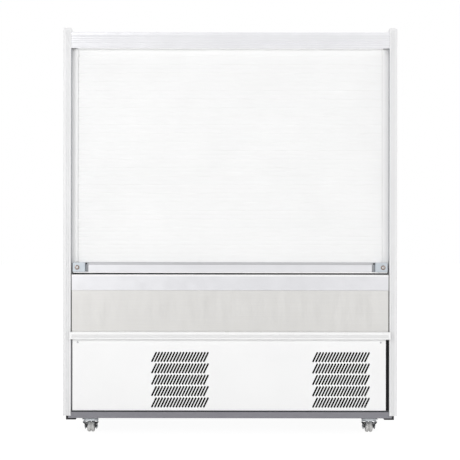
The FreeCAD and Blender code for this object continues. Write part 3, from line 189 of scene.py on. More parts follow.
bpy.context.scene.view_settings.view_transform = "Standard"
add_camera()
add_world()
for lamp_name, lamp in LAMPS.items():
    add_softbox(lamp_name, **lamp)
add_floor()

# ---- Materials ----
FINE_TO_BROAD = 6
GLOSS_SPREAD = 0.05
LEAST_ROUGHNESS = 0.03
STREAK_SHADE = 0.55
SPANGLE_CELLS = 160.0
SPANGLE_SHADE = 1.35
# Painted corner shade: its tone, the reach of the occlusion and the range over which it darkens.
CORNER_SHADE_TONE = 0.35
CORNER_SHADE_REACH = 12.0 * MM
CORNER_SHADE_RANGE = (0.25, 0.85)
NOISE_RANGE = (0.3, 0.7)


def place_vector(tree, stretch):
    """Position in the object's own frame, stretched along each axis."""
    coords = tree.nodes.new("ShaderNodeTexCoord")
    scale = tree.nodes.new("ShaderNodeMapping")
    scale.inputs["Scale"].default_value = stretch
    tree.links.new(coords.outputs["Object"], scale.inputs["Vector"])
    return scale.outputs["Vector"]


def noise_value(tree, stretch, detail=2.0):
    """Noise from 0 to 1 whose cells are 1/stretch metres on each axis."""
    node = tree.nodes.new("ShaderNodeTexNoise")
    node.inputs["Scale"].default_value = 1.0
    node.inputs["Detail"].default_value = detail
    node.inputs["Roughness"].default_value = 0.5
    tree.links.new(place_vector(tree, stretch), node.inputs["Vector"])
    return node.outputs["Fac"]


def cell_value(tree, size):
    """Value of each cell of a Voronoi pattern, for crystal spangle."""
    node = tree.nodes.new("ShaderNodeTexVoronoi")
    node.feature = "F1"
    node.inputs["Scale"].default_value = 1.0
    tree.links.new(place_vector(tree, (size, size, size)), node.inputs["Vector"])
    parts = tree.nodes.new("ShaderNodeSeparateColor")
    tree.links.new(node.outputs["Color"], parts.inputs[0])
    return parts.outputs[0]


def remap(tree, value, low, high, source=NOISE_RANGE):
    """Value carried from the source range to low and high."""
    node = tree.nodes.new("ShaderNodeMapRange")
    node.inputs["From Min"].default_value = source[0]
    node.inputs["From Max"].default_value = source[1]
    node.inputs["To Min"].default_value = low
    node.inputs["To Max"].default_value = high
    tree.links.new(value, node.inputs["Value"])
    return node.outputs["Result"]


def blend_color(tree, value, first, second):
    """Colour between two, by a value from 0 to 1; either may be a colour or a socket."""
    node = tree.nodes.new("ShaderNodeMix")
    node.data_type = "RGBA"
    tree.links.new(value, node.inputs["Factor"])
    for socket, color in ((node.inputs[6], first), (node.inputs[7], second)):
        if isinstance(color, bpy.types.NodeSocket):
            tree.links.new(color, socket)
        else:
            socket.default_value = (*color, 1.0)
    return node.outputs[2]


def shade(color, by):
    """Colour scaled by a factor."""
    return tuple(min(1.0, c * by) for c in color)


def make_material(name, color, roughness, metallic=0.0, vary=0.03, cell=(4.0, 4.0, 4.0),
                  grain=(700.0, 700.0, 700.0), grain_depth=0.02, grain_tone=0.0,
                  corner_shade=0.0, spangle=0.0, fixed=None):
    """Procedural finish: broad tone, fine grain, uneven gloss and painted shade in the corners.

    The grain's depth is in millimetres; cells and grain are counts per metre on each axis.
    """
    mat = bpy.data.materials.new(name)
    mat.use_nodes = True
    tree = mat.node_tree
    shader = tree.nodes["Principled BSDF"]
    shader.inputs["Metallic"].default_value = metallic
    for key, value in (fixed or {}).items():
        shader.inputs[key].default_value = value
    broad = remap(tree, noise_value(tree, cell, 3.0), 0.0, 1.0)
    tone = blend_color(tree, broad, shade(color, 1.0 - vary), color)
    fine = noise_value(tree, grain)
    if grain_tone:
        streak = remap(tree, fine, 0.0, grain_tone)
        tone = blend_color(tree, streak, tone, shade(color, STREAK_SHADE))
    if spangle:
        crystal = remap(tree, cell_value(tree, SPANGLE_CELLS), 0.0, spangle, (0.0, 1.0))
        tone = blend_color(tree, crystal, tone, shade(color, SPANGLE_SHADE))
    # Painted shade: the colour darkens where ambient occlusion finds corners and recesses.
    if corner_shade:
        corner = tree.nodes.new("ShaderNodeAmbientOcclusion")
        corner.samples = 4
        corner.inputs["Distance"].default_value = CORNER_SHADE_REACH
        corner_shading = remap(tree, corner.outputs["AO"], corner_shade, 0.0, CORNER_SHADE_RANGE)
        tone = blend_color(tree, corner_shading, tone, shade(color, CORNER_SHADE_TONE))
    tree.links.new(tone, shader.inputs["Base Color"])
    gloss = remap(tree, noise_value(tree, tuple(FINE_TO_BROAD * c for c in cell), 4.0),
                  max(LEAST_ROUGHNESS, roughness - GLOSS_SPREAD),
                  min(1.0, roughness + GLOSS_SPREAD))
    tree.links.new(gloss, shader.inputs["Roughness"])
    bump = tree.nodes.new("ShaderNodeBump")
    bump.inputs["Strength"].default_value = 1.0
    bump.inputs["Distance"].default_value = grain_depth * MM
    tree.links.new(fine, bump.inputs["Height"])
    tree.links.new(bump.outputs["Normal"], shader.inputs["Normal"])
    return mat


ALONG_X = (3.0, 900.0, 900.0)
ALONG_Z = (900.0, 900.0, 3.0)
SKIN = (350.0, 350.0, 350.0)
FINE = (900.0, 900.0, 900.0)

FINISHES = {
    "insulated_panel": dict(color=(0.90, 0.90, 0.90), roughness=0.34, grain=SKIN),
    "trim_white": dict(color=(0.845, 0.845, 0.85), roughness=0.40, grain=ALONG_Z,
                       grain_depth=0.01),
    "white_paint": dict(color=(0.955, 0.955, 0.955), roughness=0.38, grain=SKIN),
    "silver_rail": dict(color=(0.705, 0.705, 0.727), roughness=0.34, metallic=0.8,
                        grain=ALONG_X, grain_depth=0.012, grain_tone=0.05),
    "stainless": dict(color=(0.62, 0.612, 0.598), roughness=0.36, metallic=0.85,
                      vary=0.012, cell=(6.0, 6.0, 1.0), grain=ALONG_X,
                      grain_depth=0.01, grain_tone=0.10, fixed={"Anisotropic": 0.4}),
    "shutter_white": dict(color=(0.935, 0.935, 0.935), roughness=0.46, grain=ALONG_X,
                          grain_depth=0.01, fixed={"Specular IOR Level": 0.32}),
    "black_rubber": dict(color=(0.014, 0.014, 0.015), roughness=0.8, grain=FINE,
                         grain_depth=0.04, vary=0.3, fixed={"Specular IOR Level": 0.12}),
    "grey_paint": dict(color=(0.235, 0.231, 0.256), roughness=0.45, grain=SKIN,
                       grain_depth=0.03, vary=0.06, corner_shade=0.3),
    "black_plastic": dict(color=(0.022, 0.022, 0.024), roughness=0.5,
                          grain=(1200.0, 1200.0, 1200.0), grain_depth=0.04, vary=0.2,
                          fixed={"Specular IOR Level": 0.25}),
    "white_plastic": dict(color=(0.955, 0.955, 0.955), roughness=0.3, grain=ALONG_X,
                          grain_depth=0.01, vary=0.02),
    "clear_plastic": dict(color=(0.86, 0.89, 0.90), roughness=0.12, grain=ALONG_X,
                          grain_depth=0.008, fixed={"Transmission Weight": 0.5, "IOR": 1.49}),
    "galvanised": dict(color=(0.58, 0.60, 0.62), roughness=0.42, metallic=0.85, vary=0.12,
                       spangle=0.45, grain=(200.0, 200.0, 200.0), corner_shade=0.3),
    "zinc": dict(color=(0.53, 0.57, 0.61), roughness=0.34, metallic=0.75, vary=0.10,
                 cell=(30.0, 30.0, 30.0), grain=SKIN, corner_shade=0.45),
    "lock_brass": dict(color=(0.60, 0.49, 0.39), roughness=0.26, metallic=0.95, vary=0.10,
                       cell=(90.0, 90.0, 90.0), grain=(2500.0, 60.0, 2500.0), corner_shade=0.5),
    "copper": dict(color=(0.76, 0.40, 0.26), roughness=0.30, metallic=1.0, vary=0.22,
                   cell=(12.0, 12.0, 12.0), grain=(60.0, 900.0, 60.0), corner_shade=0.3),
    "black_paint": dict(color=(0.016, 0.016, 0.017), roughness=0.22, vary=0.2,
                        grain=(260.0, 260.0, 260.0), grain_depth=0.06),
    "fin_aluminium": dict(color=(0.66, 0.67, 0.68), roughness=0.34, metallic=0.9, vary=0.12,
                          cell=(14.0, 14.0, 14.0), grain=ALONG_Z, grain_tone=0.3,
                          grain_depth=0.04),
    "fan_black": dict(color=(0.030, 0.030, 0.032), roughness=0.46, vary=0.25, grain=FINE,
                      grain_depth=0.03),
    "wheel_grey": dict(color=(0.76, 0.755, 0.74), roughness=0.55, vary=0.12,
                       cell=(60.0, 60.0, 60.0), grain=(1600.0, 500.0, 500.0),
                       grain_depth=0.05, corner_shade=0.12),
    "grey_plastic": dict(color=(0.28, 0.28, 0.29), roughness=0.5, vary=0.1, grain=FINE,
                         grain_depth=0.04, corner_shade=0.3),
    "screw_steel": dict(color=(0.66, 0.67, 0.68), roughness=0.28, metallic=0.95, vary=0.1,
                        cell=(80.0, 80.0, 80.0), grain=SKIN, corner_shade=0.5),
}
VARIANTS = {
    "bronze": dict(color=(0.27, 0.20, 0.165), roughness=0.30, metallic=0.8, vary=0.15,
                   cell=(90.0, 90.0, 90.0), grain=SKIN, corner_shade=0.4),
    # A lighter copy of the rail silver: painted light that makes the fascia brighter than the
    # rails.
    "fascia_lit_silver": dict(color=(0.775, 0.775, 0.797), roughness=0.34, metallic=0.8,
                          grain=ALONG_X, grain_depth=0.012, grain_tone=0.05),
    "filter_foam": dict(color=(0.004, 0.004, 0.004), roughness=1.0, grain=FINE,
                        grain_depth=0.3, vary=0.4, fixed={"Specular IOR Level": 0.02}),
    # Whiter than the white paint: painted light that lifts the shade in the recess beside the end
    # trims.
    "guide_lit_white": dict(color=(0.975, 0.975, 0.975), roughness=0.36, grain=ALONG_Z,
                        grain_depth=0.01, vary=0.015),
    # Greyish white of the bumper insert, partly painted shade of the bumper's hollow.
    "insert_shade_grey": dict(color=(0.80, 0.80, 0.80), roughness=0.5, grain=ALONG_X, vary=0.02),
    # Grey painted as the shadow of the curtain's last slat over the rail.
    "recess_shadow_grey": dict(color=(0.50, 0.50, 0.515), roughness=0.42, metallic=0.5,
                        grain=ALONG_X, grain_tone=0.1),
    # Mid grey painted as shade, for the trims' liners and the rail's end plates.
    "shade_grey": dict(color=(0.40, 0.41, 0.43), roughness=0.40, metallic=0.6, grain=SKIN,
                       vary=0.1, cell=(30.0, 30.0, 30.0)),
    # A lighter copy of the zinc with less corner shade: painted light that lifts the shade under
    # the cabinet.
    "caster_lit_zinc": dict(color=(0.68, 0.71, 0.74), roughness=0.38, metallic=0.6, vary=0.08,
                        cell=(40.0, 40.0, 40.0), grain=SKIN, corner_shade=0.15),
    "ticket_card": dict(color=(0.93, 0.925, 0.90), roughness=0.75, vary=0.05,
                        cell=(7.0, 50.0, 50.0), grain=FINE),
    "display_glass": dict(color=(0.015, 0.017, 0.02), roughness=0.12, vary=0.2),
}
materials = {name: make_material(name, **look) for name, look in (FINISHES | VARIANTS).items()}
slot_of = {part["node"]: part["material_slot"] for part in frame["record"]["subparts"]}


def finish_node(name, look):
    """Gives a carried-over node one finish."""
    for material_slot in frame["nodes"][name].material_slots:
        material_slot.material = materials[look]


WELD_REACH = 0.02 * MM
SHARP_NODE_ANGLE = math.radians(50)
SHARP_PIECE_ANGLE = math.radians(40)


def soften_edges(node_names, width):
    """Small rounded edges on carried-over nodes, so that they catch the light."""
    for name in node_names:
        node = frame["nodes"][name]
        weld = node.modifiers.new("weld", "WELD")
        weld.merge_threshold = WELD_REACH
        edge = node.modifiers.new("edges", "BEVEL")
        edge.width = width
        edge.segments = 2
        edge.limit_method = "ANGLE"
        edge.angle_limit = SHARP_NODE_ANGLE
        edge.harden_normals = True


for node_name in frame["nodes"]:
    finish_node(node_name, slot_of[node_name])
# The guides take the whiter copy of the paint, painted light against the shade of the recess.
finish_node("guide_rails", "guide_lit_white")
soften_edges(("end_panel_left", "end_panel_right", "top_panel", "end_skids"), 1.2 * MM)
soften_edges(("lock_cases", "shutter_bottom_rail", "control_box", "deck_trays"), 0.7 * MM)
soften_edges(("service_panel", "front_steel_panel", "shelves", "plinth_rail"), 0.4 * MM)

# ---- Mesh helpers ----
AXES = {"X": Vector((1, 0, 0)), "Y": Vector((0, 1, 0)), "Z": Vector((0, 0, 1))}
SIDEWAYS = {"X": AXES["Y"], "Y": AXES["Z"], "Z": AXES["X"]}
MERGE_REACH = 1e-7


def block(bm, x, y, z):
    """Adds a block between the low and high limits on each axis."""
    size = Vector((x[1] - x[0], y[1] - y[0], z[1] - z[0]))
    middle = Vector(((x[0] + x[1]) / 2, (y[0] + y[1]) / 2, (z[0] + z[1]) / 2))
    place = Matrix.Translation(middle) @ Matrix.Diagonal((*size, 1))
    bmesh.ops.create_cube(bm, size=1.0, matrix=place)


def loft(bm, rings):
    """Adds the skin between rings of vertices, closed at both ends."""
    for here, there in zip(rings, rings[1:]):
        for j in range(len(here)):
            k = (j + 1) % len(here)
            bm.faces.new((here[j], here[k], there[k], there[j]))
    bm.faces.new(rings[0])
    bm.faces.new(rings[-1][::-1])


def prism(bm, points, axis, low, high):
    """Adds an outline of (a, b) points, extruded along an axis from low to high."""
    order = {"X": lambda a, b, t: (t, a, b), "Y": lambda a, b, t: (a, t, b),
             "Z": lambda a, b, t: (a, b, t)}[axis]
    near = [bm.verts.new(order(a, b, low)) for a, b in points]
    far = [bm.verts.new(order(a, b, high)) for a, b in points]
    count = len(points)
    bm.faces.new(near)
    bm.faces.new(far[::-1])
    for i in range(count):
        after = (i + 1) % count
        bm.faces.new((near[after], near[i], far[i], far[after]))


def turned(bm, profile, axis, centre, steps=32):
    """Adds a solid turned from a closed (reach along the axis, radius) profile."""
    centre = Vector(centre)
    along, side = AXES[axis], SIDEWAYS[axis]
    rings = []
    for i in range(steps):
        turn = Matrix.Rotation(2 * math.pi * i / steps, 3, along)
        rings.append([bm.verts.new(centre + along * a + (turn @ side) * r) for a, r in profile])
    count = len(profile)
    for i in range(steps):
        here = rings[i]
        there = rings[(i + 1) % steps]
        for j in range(count):
            k = (j + 1) % count
            bm.faces.new((here[j], here[k], there[k], there[j]))
    bmesh.ops.remove_doubles(bm, verts=bm.verts, dist=MERGE_REACH)


def split_wide_faces(bm):
    """Cuts faces of more than four corners into triangles."""
    bmesh.ops.triangulate(bm, faces=[f for f in bm.faces if len(f.verts) > 4])


def around(a, b, offsets):
    """Points at the given offsets in millimetres from a place."""
    return [(a + da * MM, b + db * MM) for da, db in offsets]


def scaled(offsets):
    """Points given in millimetres, in metres."""
    return [(a * MM, b * MM) for a, b in offsets]


def quarter_turn(steps):
    """Cosine and sine at equal steps from 0 to 90 degrees."""
    angles = [math.radians(90 * i / steps) for i in range(steps + 1)]
    return [(math.cos(angle), math.sin(angle)) for angle in angles]


def span(side, first, last):
    """Lowest and highest x of a strip between two distances from the middle, on one side."""
    return sorted((side * first, side * last))


def bead(x, y, lip):
    """Outline of a strip whose front corners are rounded."""
    x0, x1 = sorted(x)
    y0, y1 = y
    soft = lip * 0.3
    return [(x0, y1), (x0, y0 + lip), (x0 + soft, y0 + soft), (x0 + lip, y0),
            (x1 - lip, y0), (x1 - soft, y0 + soft), (x1, y0 + lip), (x1, y1)]


def finish_piece(bm, name, slot, body, nodes=(), bevel=0.0, segments=2, smooth=35.0, look=None):
    """Turns the mesh into a piece with its finish, which rides on a body."""
    bmesh.ops.recalc_face_normals(bm, faces=bm.faces)
    mesh = bpy.data.meshes.new(name)
    bm.to_mesh(mesh)
    bm.free()
    piece = bpy.data.objects.new(name, mesh)
    bpy.context.scene.collection.objects.link(piece)
    mesh.materials.append(materials[look or slot])
    mesh.shade_smooth()
    mesh.set_sharp_from_angle(angle=math.radians(smooth))
    if bevel:
        edge = piece.modifiers.new("edges", "BEVEL")
        edge.width = bevel
        edge.segments = segments
        edge.limit_method = "ANGLE"
        edge.angle_limit = SHARP_PIECE_ANGLE
        edge.harden_normals = True
    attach(piece, body)
    if nodes:
        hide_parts(*nodes)
    return piece


# ---- Places of the nodes that the pieces are set against ----
inner_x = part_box("front_steel_panel")[1].x
steel_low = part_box("front_steel_panel")[0]
cap_low, cap_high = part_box("front_cap_rail")
rail_low, rail_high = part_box("shutter_bottom_rail")
case_low, case_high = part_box("lock_cases")
panel_low, panel_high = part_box("service_panel")
plinth_low, plinth_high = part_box("plinth_rail")
fascia_low, fascia_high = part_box("top_fascia")
curtain_low, curtain_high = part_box("shutter_curtain")
bolt_low, bolt_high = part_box("lock_bolt_right")

# ---- Shutter curtain ----
SLAT = 38.8 * MM
RIB_DEPTH = 0.55 * MM
JOINT_DEPTH = 1.3 * MM
JOINT_WIDTH = 1.1 * MM
RIB_WIDTH = 0.9 * MM


def curtain_profile(low, high, front, back):
    """Front line of the slats: two soft ribs on each, and a hooked joint between them."""
    points = []
    rib = SLAT / 2
    for i in range(int((high - low) / SLAT) + 1):
        for half, deep, narrow in ((0, JOINT_DEPTH, JOINT_WIDTH), (1, RIB_DEPTH, RIB_WIDTH)):
            base = low + i * SLAT + half * rib
            line = [(deep, 0.0), (deep, narrow * 0.6), (RIB_DEPTH * 0.5, narrow),
                    (RIB_DEPTH * 0.18, narrow * 2.2), (0.0, rib * 0.5),
                    (RIB_DEPTH * 0.18, rib - narrow * 2.2), (RIB_DEPTH * 0.5, rib - narrow)]
            points += [(front + depth, base + rise) for depth, rise in line if base + rise < high]
    return points + [(front + RIB_DEPTH, high), (back, high), (back, low)]


def add_curtain():
    """Slatted curtain with two soft ribs on each slat, on a mesh of its own."""
    bm = bmesh.new()
    points = curtain_profile(curtain_low.z, curtain_high.z, curtain_low.y, curtain_high.y)
    prism(bm, points, "X", curtain_low.x, curtain_high.x)
    split_wide_faces(bm)
    piece = finish_piece(bm, "shutter_slats", "shutter_white", "cabinet",
                         ["shutter_curtain"], smooth=25.0)
    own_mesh(piece)


# ---- Front trim, gaskets and filters ----
def add_side_gaskets():
    """Dark joint strips between the front panels and the end trims, and grey liners on the trims'
    inner sides painted as the shade of the recess.
    """
    bm = bmesh.new()
    for side in SIDES:
        x = span(side, inner_x - 3.2 * MM, inner_x - 0.05 * MM)
        prism(bm, bead(x, (cap_low.y - 0.7 * MM, cap_low.y + 2.4 * MM), 0.9 * MM), "Z",
              steel_low.z + 0.3 * MM, cap_high.z - 0.4 * MM)
    finish_piece(bm, "panel_gaskets", "black_rubber", "cabinet")
    bm = bmesh.new()
    x = (panel_high.x + 0.4 * MM, inner_x - 0.1 * MM)
    prism(bm, bead(x, (panel_low.y + 3.0 * MM, panel_high.y), 1.5 * MM), "Z",
          panel_low.z, panel_high.z)
    finish_piece(bm, "panel_side_seal", "black_rubber", "cabinet")
    # Grey liners on the trims' inner sides: painted shade of the recess beside the curtain.
    bm = bmesh.new()
    front = FRONT_Y + 1.2 * MM
    back = curtain_low.y - 6.8 * MM
    foot, head = rail_low.z - 8.0 * MM, fascia_low.z - 0.5 * MM
    strike = bolt_low.z - 1.5 * MM, bolt_high.z + 1.5 * MM
    for side in SIDES:
        x = span(side, inner_x - 1.3 * MM, inner_x - 0.05 * MM)
        for low, high, end in ((foot, strike[0], back), (*strike, bolt_low.y - 1.5 * MM),
                               (strike[1], head, back)):
            prism(bm, bead(x, (front, end), 0.5 * MM), "Z", low, high)
    finish_piece(bm, "trim_liner_shade", "white_plastic", "cabinet", look="shade_grey")


def add_guide_heads():
    """White caps between the guides and the fascia, in front of the curtain."""
    guide_low, guide_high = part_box("guide_rails")
    y = (guide_low.y - 0.8 * MM, guide_low.y + 4.5 * MM)
    bm = bmesh.new()
    for side in SIDES:
        x = span(side, inner_x - 29.0 * MM, inner_x - 0.2 * MM)
        prism(bm, bead(x, y, 0.8 * MM), "Z", guide_high.z - 8.0 * MM, fascia_low.z + 1.6 * MM)
    finish_piece(bm, "guide_heads", "white_plastic", "cabinet", look="guide_lit_white")


HEM_OUTLINE = ((1.5, -5.4), (-0.3, -5.4), (-0.8, -4.8), (-0.8, -1.7), (-0.2, -1.2), (1.5, -1.2))


def add_plinth_shadow_hem():
    """Black rubber hem along the top edge of the plinth; its black is also painted shadow under
    the service panel.
    """
    half = inner_x - 2.1 * MM
    bm = bmesh.new()
    prism(bm, around(plinth_low.y, plinth_high.z, HEM_OUTLINE), "X", -half, half)
    finish_piece(bm, "plinth_shadow_hem", "black_rubber", "cabinet")


FLANGE_HEAD_DROP = 33.0 * MM
FLANGE_FOOT = ((9.0, -7.0), (1.8, -7.0), (1.2, -6.0))
FLANGE_HEAD = ((1.2, 0.0), (9.0, 0.0))


def add_panel_flange():
    """White flange that closes the gap over the service panel."""
    line = (around(panel_low.y, panel_high.z, FLANGE_FOOT)
            + around(panel_low.y, steel_low.z - FLANGE_HEAD_DROP, FLANGE_HEAD))
    bm = bmesh.new()
    prism(bm, line, "X", panel_low.x, panel_high.x)
    finish_piece(bm, "panel_flange", "white_paint", "cabinet")


FASCIA_WALL = 2.0 * MM
FASCIA_LIP_REACH = 11.0 * MM
FASCIA_CORNER = 4.0 * MM
GROOVES = 6
GROOVE_START = 5.0 * MM
GROOVE_PITCH = 9.4 * MM
GROOVE_OUTLINE = ((0.0, 0.0), (0.5, 0.5), (0.5, 1.5), (0.0, 2.0))
BRUSH_DROP = 1.5 * MM
BRUSH_INSET = 28.0 * MM


def add_fascia():
    """Fascia channel with fine lengthwise grooves over its lower part, and its brush."""
    y, back = fascia_low.y, fascia_high.y
    low, high = fascia_low.z, fascia_high.z
    line = [(y + FASCIA_LIP_REACH, low)] + around(y, low, ((2.0, 0.0), (0.6, 0.6), (0.0, 2.0)))
    for i in range(GROOVES):
        line += around(y, low + GROOVE_START + i * GROOVE_PITCH, GROOVE_OUTLINE)
    line += [(y + FASCIA_CORNER * (1 - c), high - FASCIA_CORNER * (1 - s))
             for c, s in quarter_turn(4)]
    line += [(back, high), (back, high - FASCIA_WALL),
             (y + FASCIA_WALL, high - FASCIA_WALL), (y + FASCIA_WALL, low + FASCIA_WALL),
             (y + FASCIA_LIP_REACH, low + FASCIA_WALL)]
    bm = bmesh.new()
    prism(bm, line, "X", fascia_low.x, fascia_high.x)
    split_wide_faces(bm)
    finish_piece(bm, "fascia_profile", "silver_rail", "cabinet", ["top_fascia"], smooth=50.0,
                 look="fascia_lit_silver")
    line = around(y, low, ((3.0, 1.8), (1.6, 0.2)))
    line += [(y + 4.0 * MM, low - BRUSH_DROP), (curtain_low.y - 2.0 * MM, low - BRUSH_DROP),
             (curtain_low.y - 1.2 * MM, low + 1.8 * MM)]
    half = inner_x - BRUSH_INSET
    bm = bmesh.new()
    prism(bm, line, "X", -half, half)
    finish_piece(bm, "fascia_brush", "white_plastic", "cabinet", look="guide_lit_white")


BUMPER_TONGUE = 2.0 * MM
LOWER_BEAD = 5.0 * MM
UPPER_BEAD = 7.0 * MM
LOWER_BEAD_TOP = ((0.0, 6.6), (0.6, 7.4), (2.6, 7.6))
UPPER_BEAD_FOOT = ((2.6, -13.2), (0.6, -13.0), (0.0, -12.2))
INSERT_BED = 2.5 * MM
INSERT_SWELL = 1.7 * MM
INSERT_FOOT, INSERT_HEAD = 7.8 * MM, 13.4 * MM
END_CAP = (0.2 * MM, 9.0 * MM)
END_CAP_FOOT = ((0.1, 4.0), (1.4, 0.8), (4.0, 0.0))
END_CAP_HEAD = ((5.0, 0.0), (1.6, -1.2), (0.1, -5.0))


def add_bumper():
    """Bumper moulding with a heavier upper bead, and a grey insert between its beads whose grey is
    partly painted shade of the hollow.
    """
    low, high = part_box("bumper_rail")
    nose, back = low.y, high.y
    z0, z1 = low.z, high.z
    line = [(back, z0 + BUMPER_TONGUE), (FRONT_Y, z0 + BUMPER_TONGUE), (FRONT_Y, z0)]
    line += [(nose + LOWER_BEAD * (1 - s), z0 + LOWER_BEAD * (1 - c)) for c, s in quarter_turn(4)]
    line += around(nose, z0, LOWER_BEAD_TOP) + around(nose, z1, UPPER_BEAD_FOOT)
    line += [(nose + UPPER_BEAD * (1 - c), z1 - UPPER_BEAD * (1 - s)) for c, s in quarter_turn(4)]
    line += [(FRONT_Y, z1), (FRONT_Y, z1 - BUMPER_TONGUE), (back, z1 - BUMPER_TONGUE)]
    bm = bmesh.new()
    prism(bm, line, "X", low.x, high.x)
    split_wide_faces(bm)
    finish_piece(bm, "bumper_profile", "white_plastic", "cabinet", ["bumper_rail"], smooth=50.0)
    bed = nose + INSERT_BED
    foot, head = z0 + INSERT_FOOT, z1 - INSERT_HEAD
    line = [(bed, head), (bed, foot)]
    steps = 6
    for i in range(steps + 1):
        share = i / steps
        swell = math.sin(math.pi * (0.12 + 0.76 * share))
        line.append((bed - INSERT_SWELL * swell, foot + (head - foot) * share))
    bm = bmesh.new()
    prism(bm, line, "X", low.x + 0.5 * MM, high.x - 0.5 * MM)
    split_wide_faces(bm)
    finish_piece(bm, "bumper_insert", "grey_plastic", "cabinet", smooth=50.0, look="insert_shade_grey")
    line = around(nose, z0, END_CAP_FOOT) + [(FRONT_Y, z0), (FRONT_Y, z1)]
    line += around(nose, z1, END_CAP_HEAD)
    bm = bmesh.new()
    for side in SIDES:
        prism(bm, line, "X", *span(side, high.x - END_CAP[0], high.x - END_CAP[1]))
    split_wide_faces(bm)
    finish_piece(bm, "bumper_end_caps", "white_plastic", "cabinet", bevel=0.6 * MM)


VENT_CENTRES = {"left": -224.7 * MM, "right": 499.0 * MM}
VENT_HALF = 139.0 * MM
VENT_Z = (panel_low.z + 11.0 * MM, panel_low.z + 268.0 * MM)
FILTER_FRONT, FILTER_FOLD, FILTER_BACK = 2.0 * MM, 6.0 * MM, 8.0 * MM
PLEAT = 7.0 * MM


def add_vent_filters():
    """Pleated black dust filter behind each group of vents."""
    front, fold, back = (panel_low.y + depth for depth in (FILTER_FRONT, FILTER_FOLD, FILTER_BACK))
    count = int(2 * VENT_HALF / PLEAT)
    for name, centre in VENT_CENTRES.items():
        start = centre - count * PLEAT / 2
        end = start + count * PLEAT
        line = []
        for i in range(count):
            line += [(start + i * PLEAT, fold), (start + (i + 0.5) * PLEAT, front)]
        bm = bmesh.new()
        prism(bm, line + [(end, fold), (end, back), (start, back)], "Z", *VENT_Z)
        split_wide_faces(bm)
        finish_piece(bm, "vent_filter_" + name, "black_plastic", "front_cover",
                     look="filter_foam")


RECESS_INSET = 55.0 * MM
RECESS_FOOT = ((0.4, 0.0), (-1.6, 0.0), (-0.7, 1.4))
RECESS_HEAD = ((-0.7, -2.0), (-1.6, -1.2), (-1.6, 0.0), (0.4, 0.0))
RECESS_RISE = 35.2 * MM
PLATE_OUTER, PLATE_INNER = 0.05 * MM, 14.2 * MM
RAIL_SCREW = ((-3.9, 0.0), (-3.9, 2.2), (-3.2, 3.4), (-2.2, 3.8), (-1.0, 3.8), (-1.0, 0.0))
RAIL_SCREW_INSET, RAIL_SCREW_DROP = 5.0 * MM, 6.5 * MM


def add_rail_details():
    """Grey strip over the rail's silver face and grey end plates beside the lock cases, painted as
    the shadow under the curtain and in the recesses, and the plates' screws.
    """
    y = case_high.y
    half = case_high.x - RECESS_INSET
    head = rail_high.z - 0.2 * MM
    bm = bmesh.new()
    line = around(y, rail_low.z + RECESS_RISE, RECESS_FOOT) + around(y, head, RECESS_HEAD)
    prism(bm, line, "X", -half, half)
    finish_piece(bm, "rail_shadow_strip", "silver_rail", "shutter", look="recess_shadow_grey")
    bm = bmesh.new()
    for side in SIDES:
        x = span(side, half + PLATE_OUTER, half - PLATE_INNER)
        prism(bm, bead(x, (y - 2.2 * MM, y + 0.2 * MM), 0.6 * MM), "Z", case_low.z, head)
    finish_piece(bm, "rail_end_shade_plates", "zinc", "shutter", look="shade_grey")
    bm = bmesh.new()
    for side in SIDES:
        centre = (side * (half - RAIL_SCREW_INSET), y, head - RAIL_SCREW_DROP)
        turned(bm, scaled(RAIL_SCREW), "Y", centre, 20)
    finish_piece(bm, "rail_end_screws", "black_plastic", "shutter")


RAIL_HIGHLIGHT_OUTLINE = ((14.0, 2.6), (-0.2, 2.6), (-1.0, 1.9), (-1.0, -1.6), (-0.4, -2.2), (14.0, -2.2))
RAIL_HIGHLIGHT_INSET = 9.0 * MM
NOSING_CENTRE = 6.0 * MM
NOSING_OUTER, NOSING_INNER = 6.4 * MM, 5.8 * MM
NOSING_SKIRT = 1.6 * MM


def add_edge_highlights():
    """White strip along the rail's foot over its seal, and a white nosing on the cap's top edge:
    both painted highlights on the metal edges.
    """
    half = inner_x - RAIL_HIGHLIGHT_INSET
    bm = bmesh.new()
    prism(bm, around(rail_low.y, rail_low.z, RAIL_HIGHLIGHT_OUTLINE), "X", -half, half)
    finish_piece(bm, "rail_edge_highlight", "white_plastic", "shutter")
    # White nosing painted as the highlight on the cap's rounded top edge.
    y, z = cap_low.y + NOSING_CENTRE, cap_high.z - NOSING_CENTRE
    outer = [(y - NOSING_OUTER * c, z + NOSING_OUTER * s) for c, s in quarter_turn(8)]
    inner = [(y - NOSING_INNER * c, z + NOSING_INNER * s) for c, s in quarter_turn(8)]
    skirt = outer[0][1] - NOSING_SKIRT
    half = inner_x - 0.4 * MM
    bm = bmesh.new()
    prism(bm, [(outer[0][0], skirt)] + outer + inner[::-1] + [(inner[0][0], skirt)], "X",
          -half, half)
    split_wide_faces(bm)
    finish_piece(bm, "cap_edge_highlight", "white_plastic", "cabinet", smooth=50.0)


BEZEL = ((0.0, 5.6), (-0.7, 6.0), (-0.9, 7.4), (-0.3, 9.4), (0.9, 10.0), (2.9, 10.2),
         (2.9, 9.05), (0.4, 9.05), (0.1, 5.6))
PLUG_RADIUS = 5.5 * MM
KEYWAY_HALF = 0.9 * MM
PLUG_PROUD, PLUG_SEAT = 0.8 * MM, 0.3 * MM


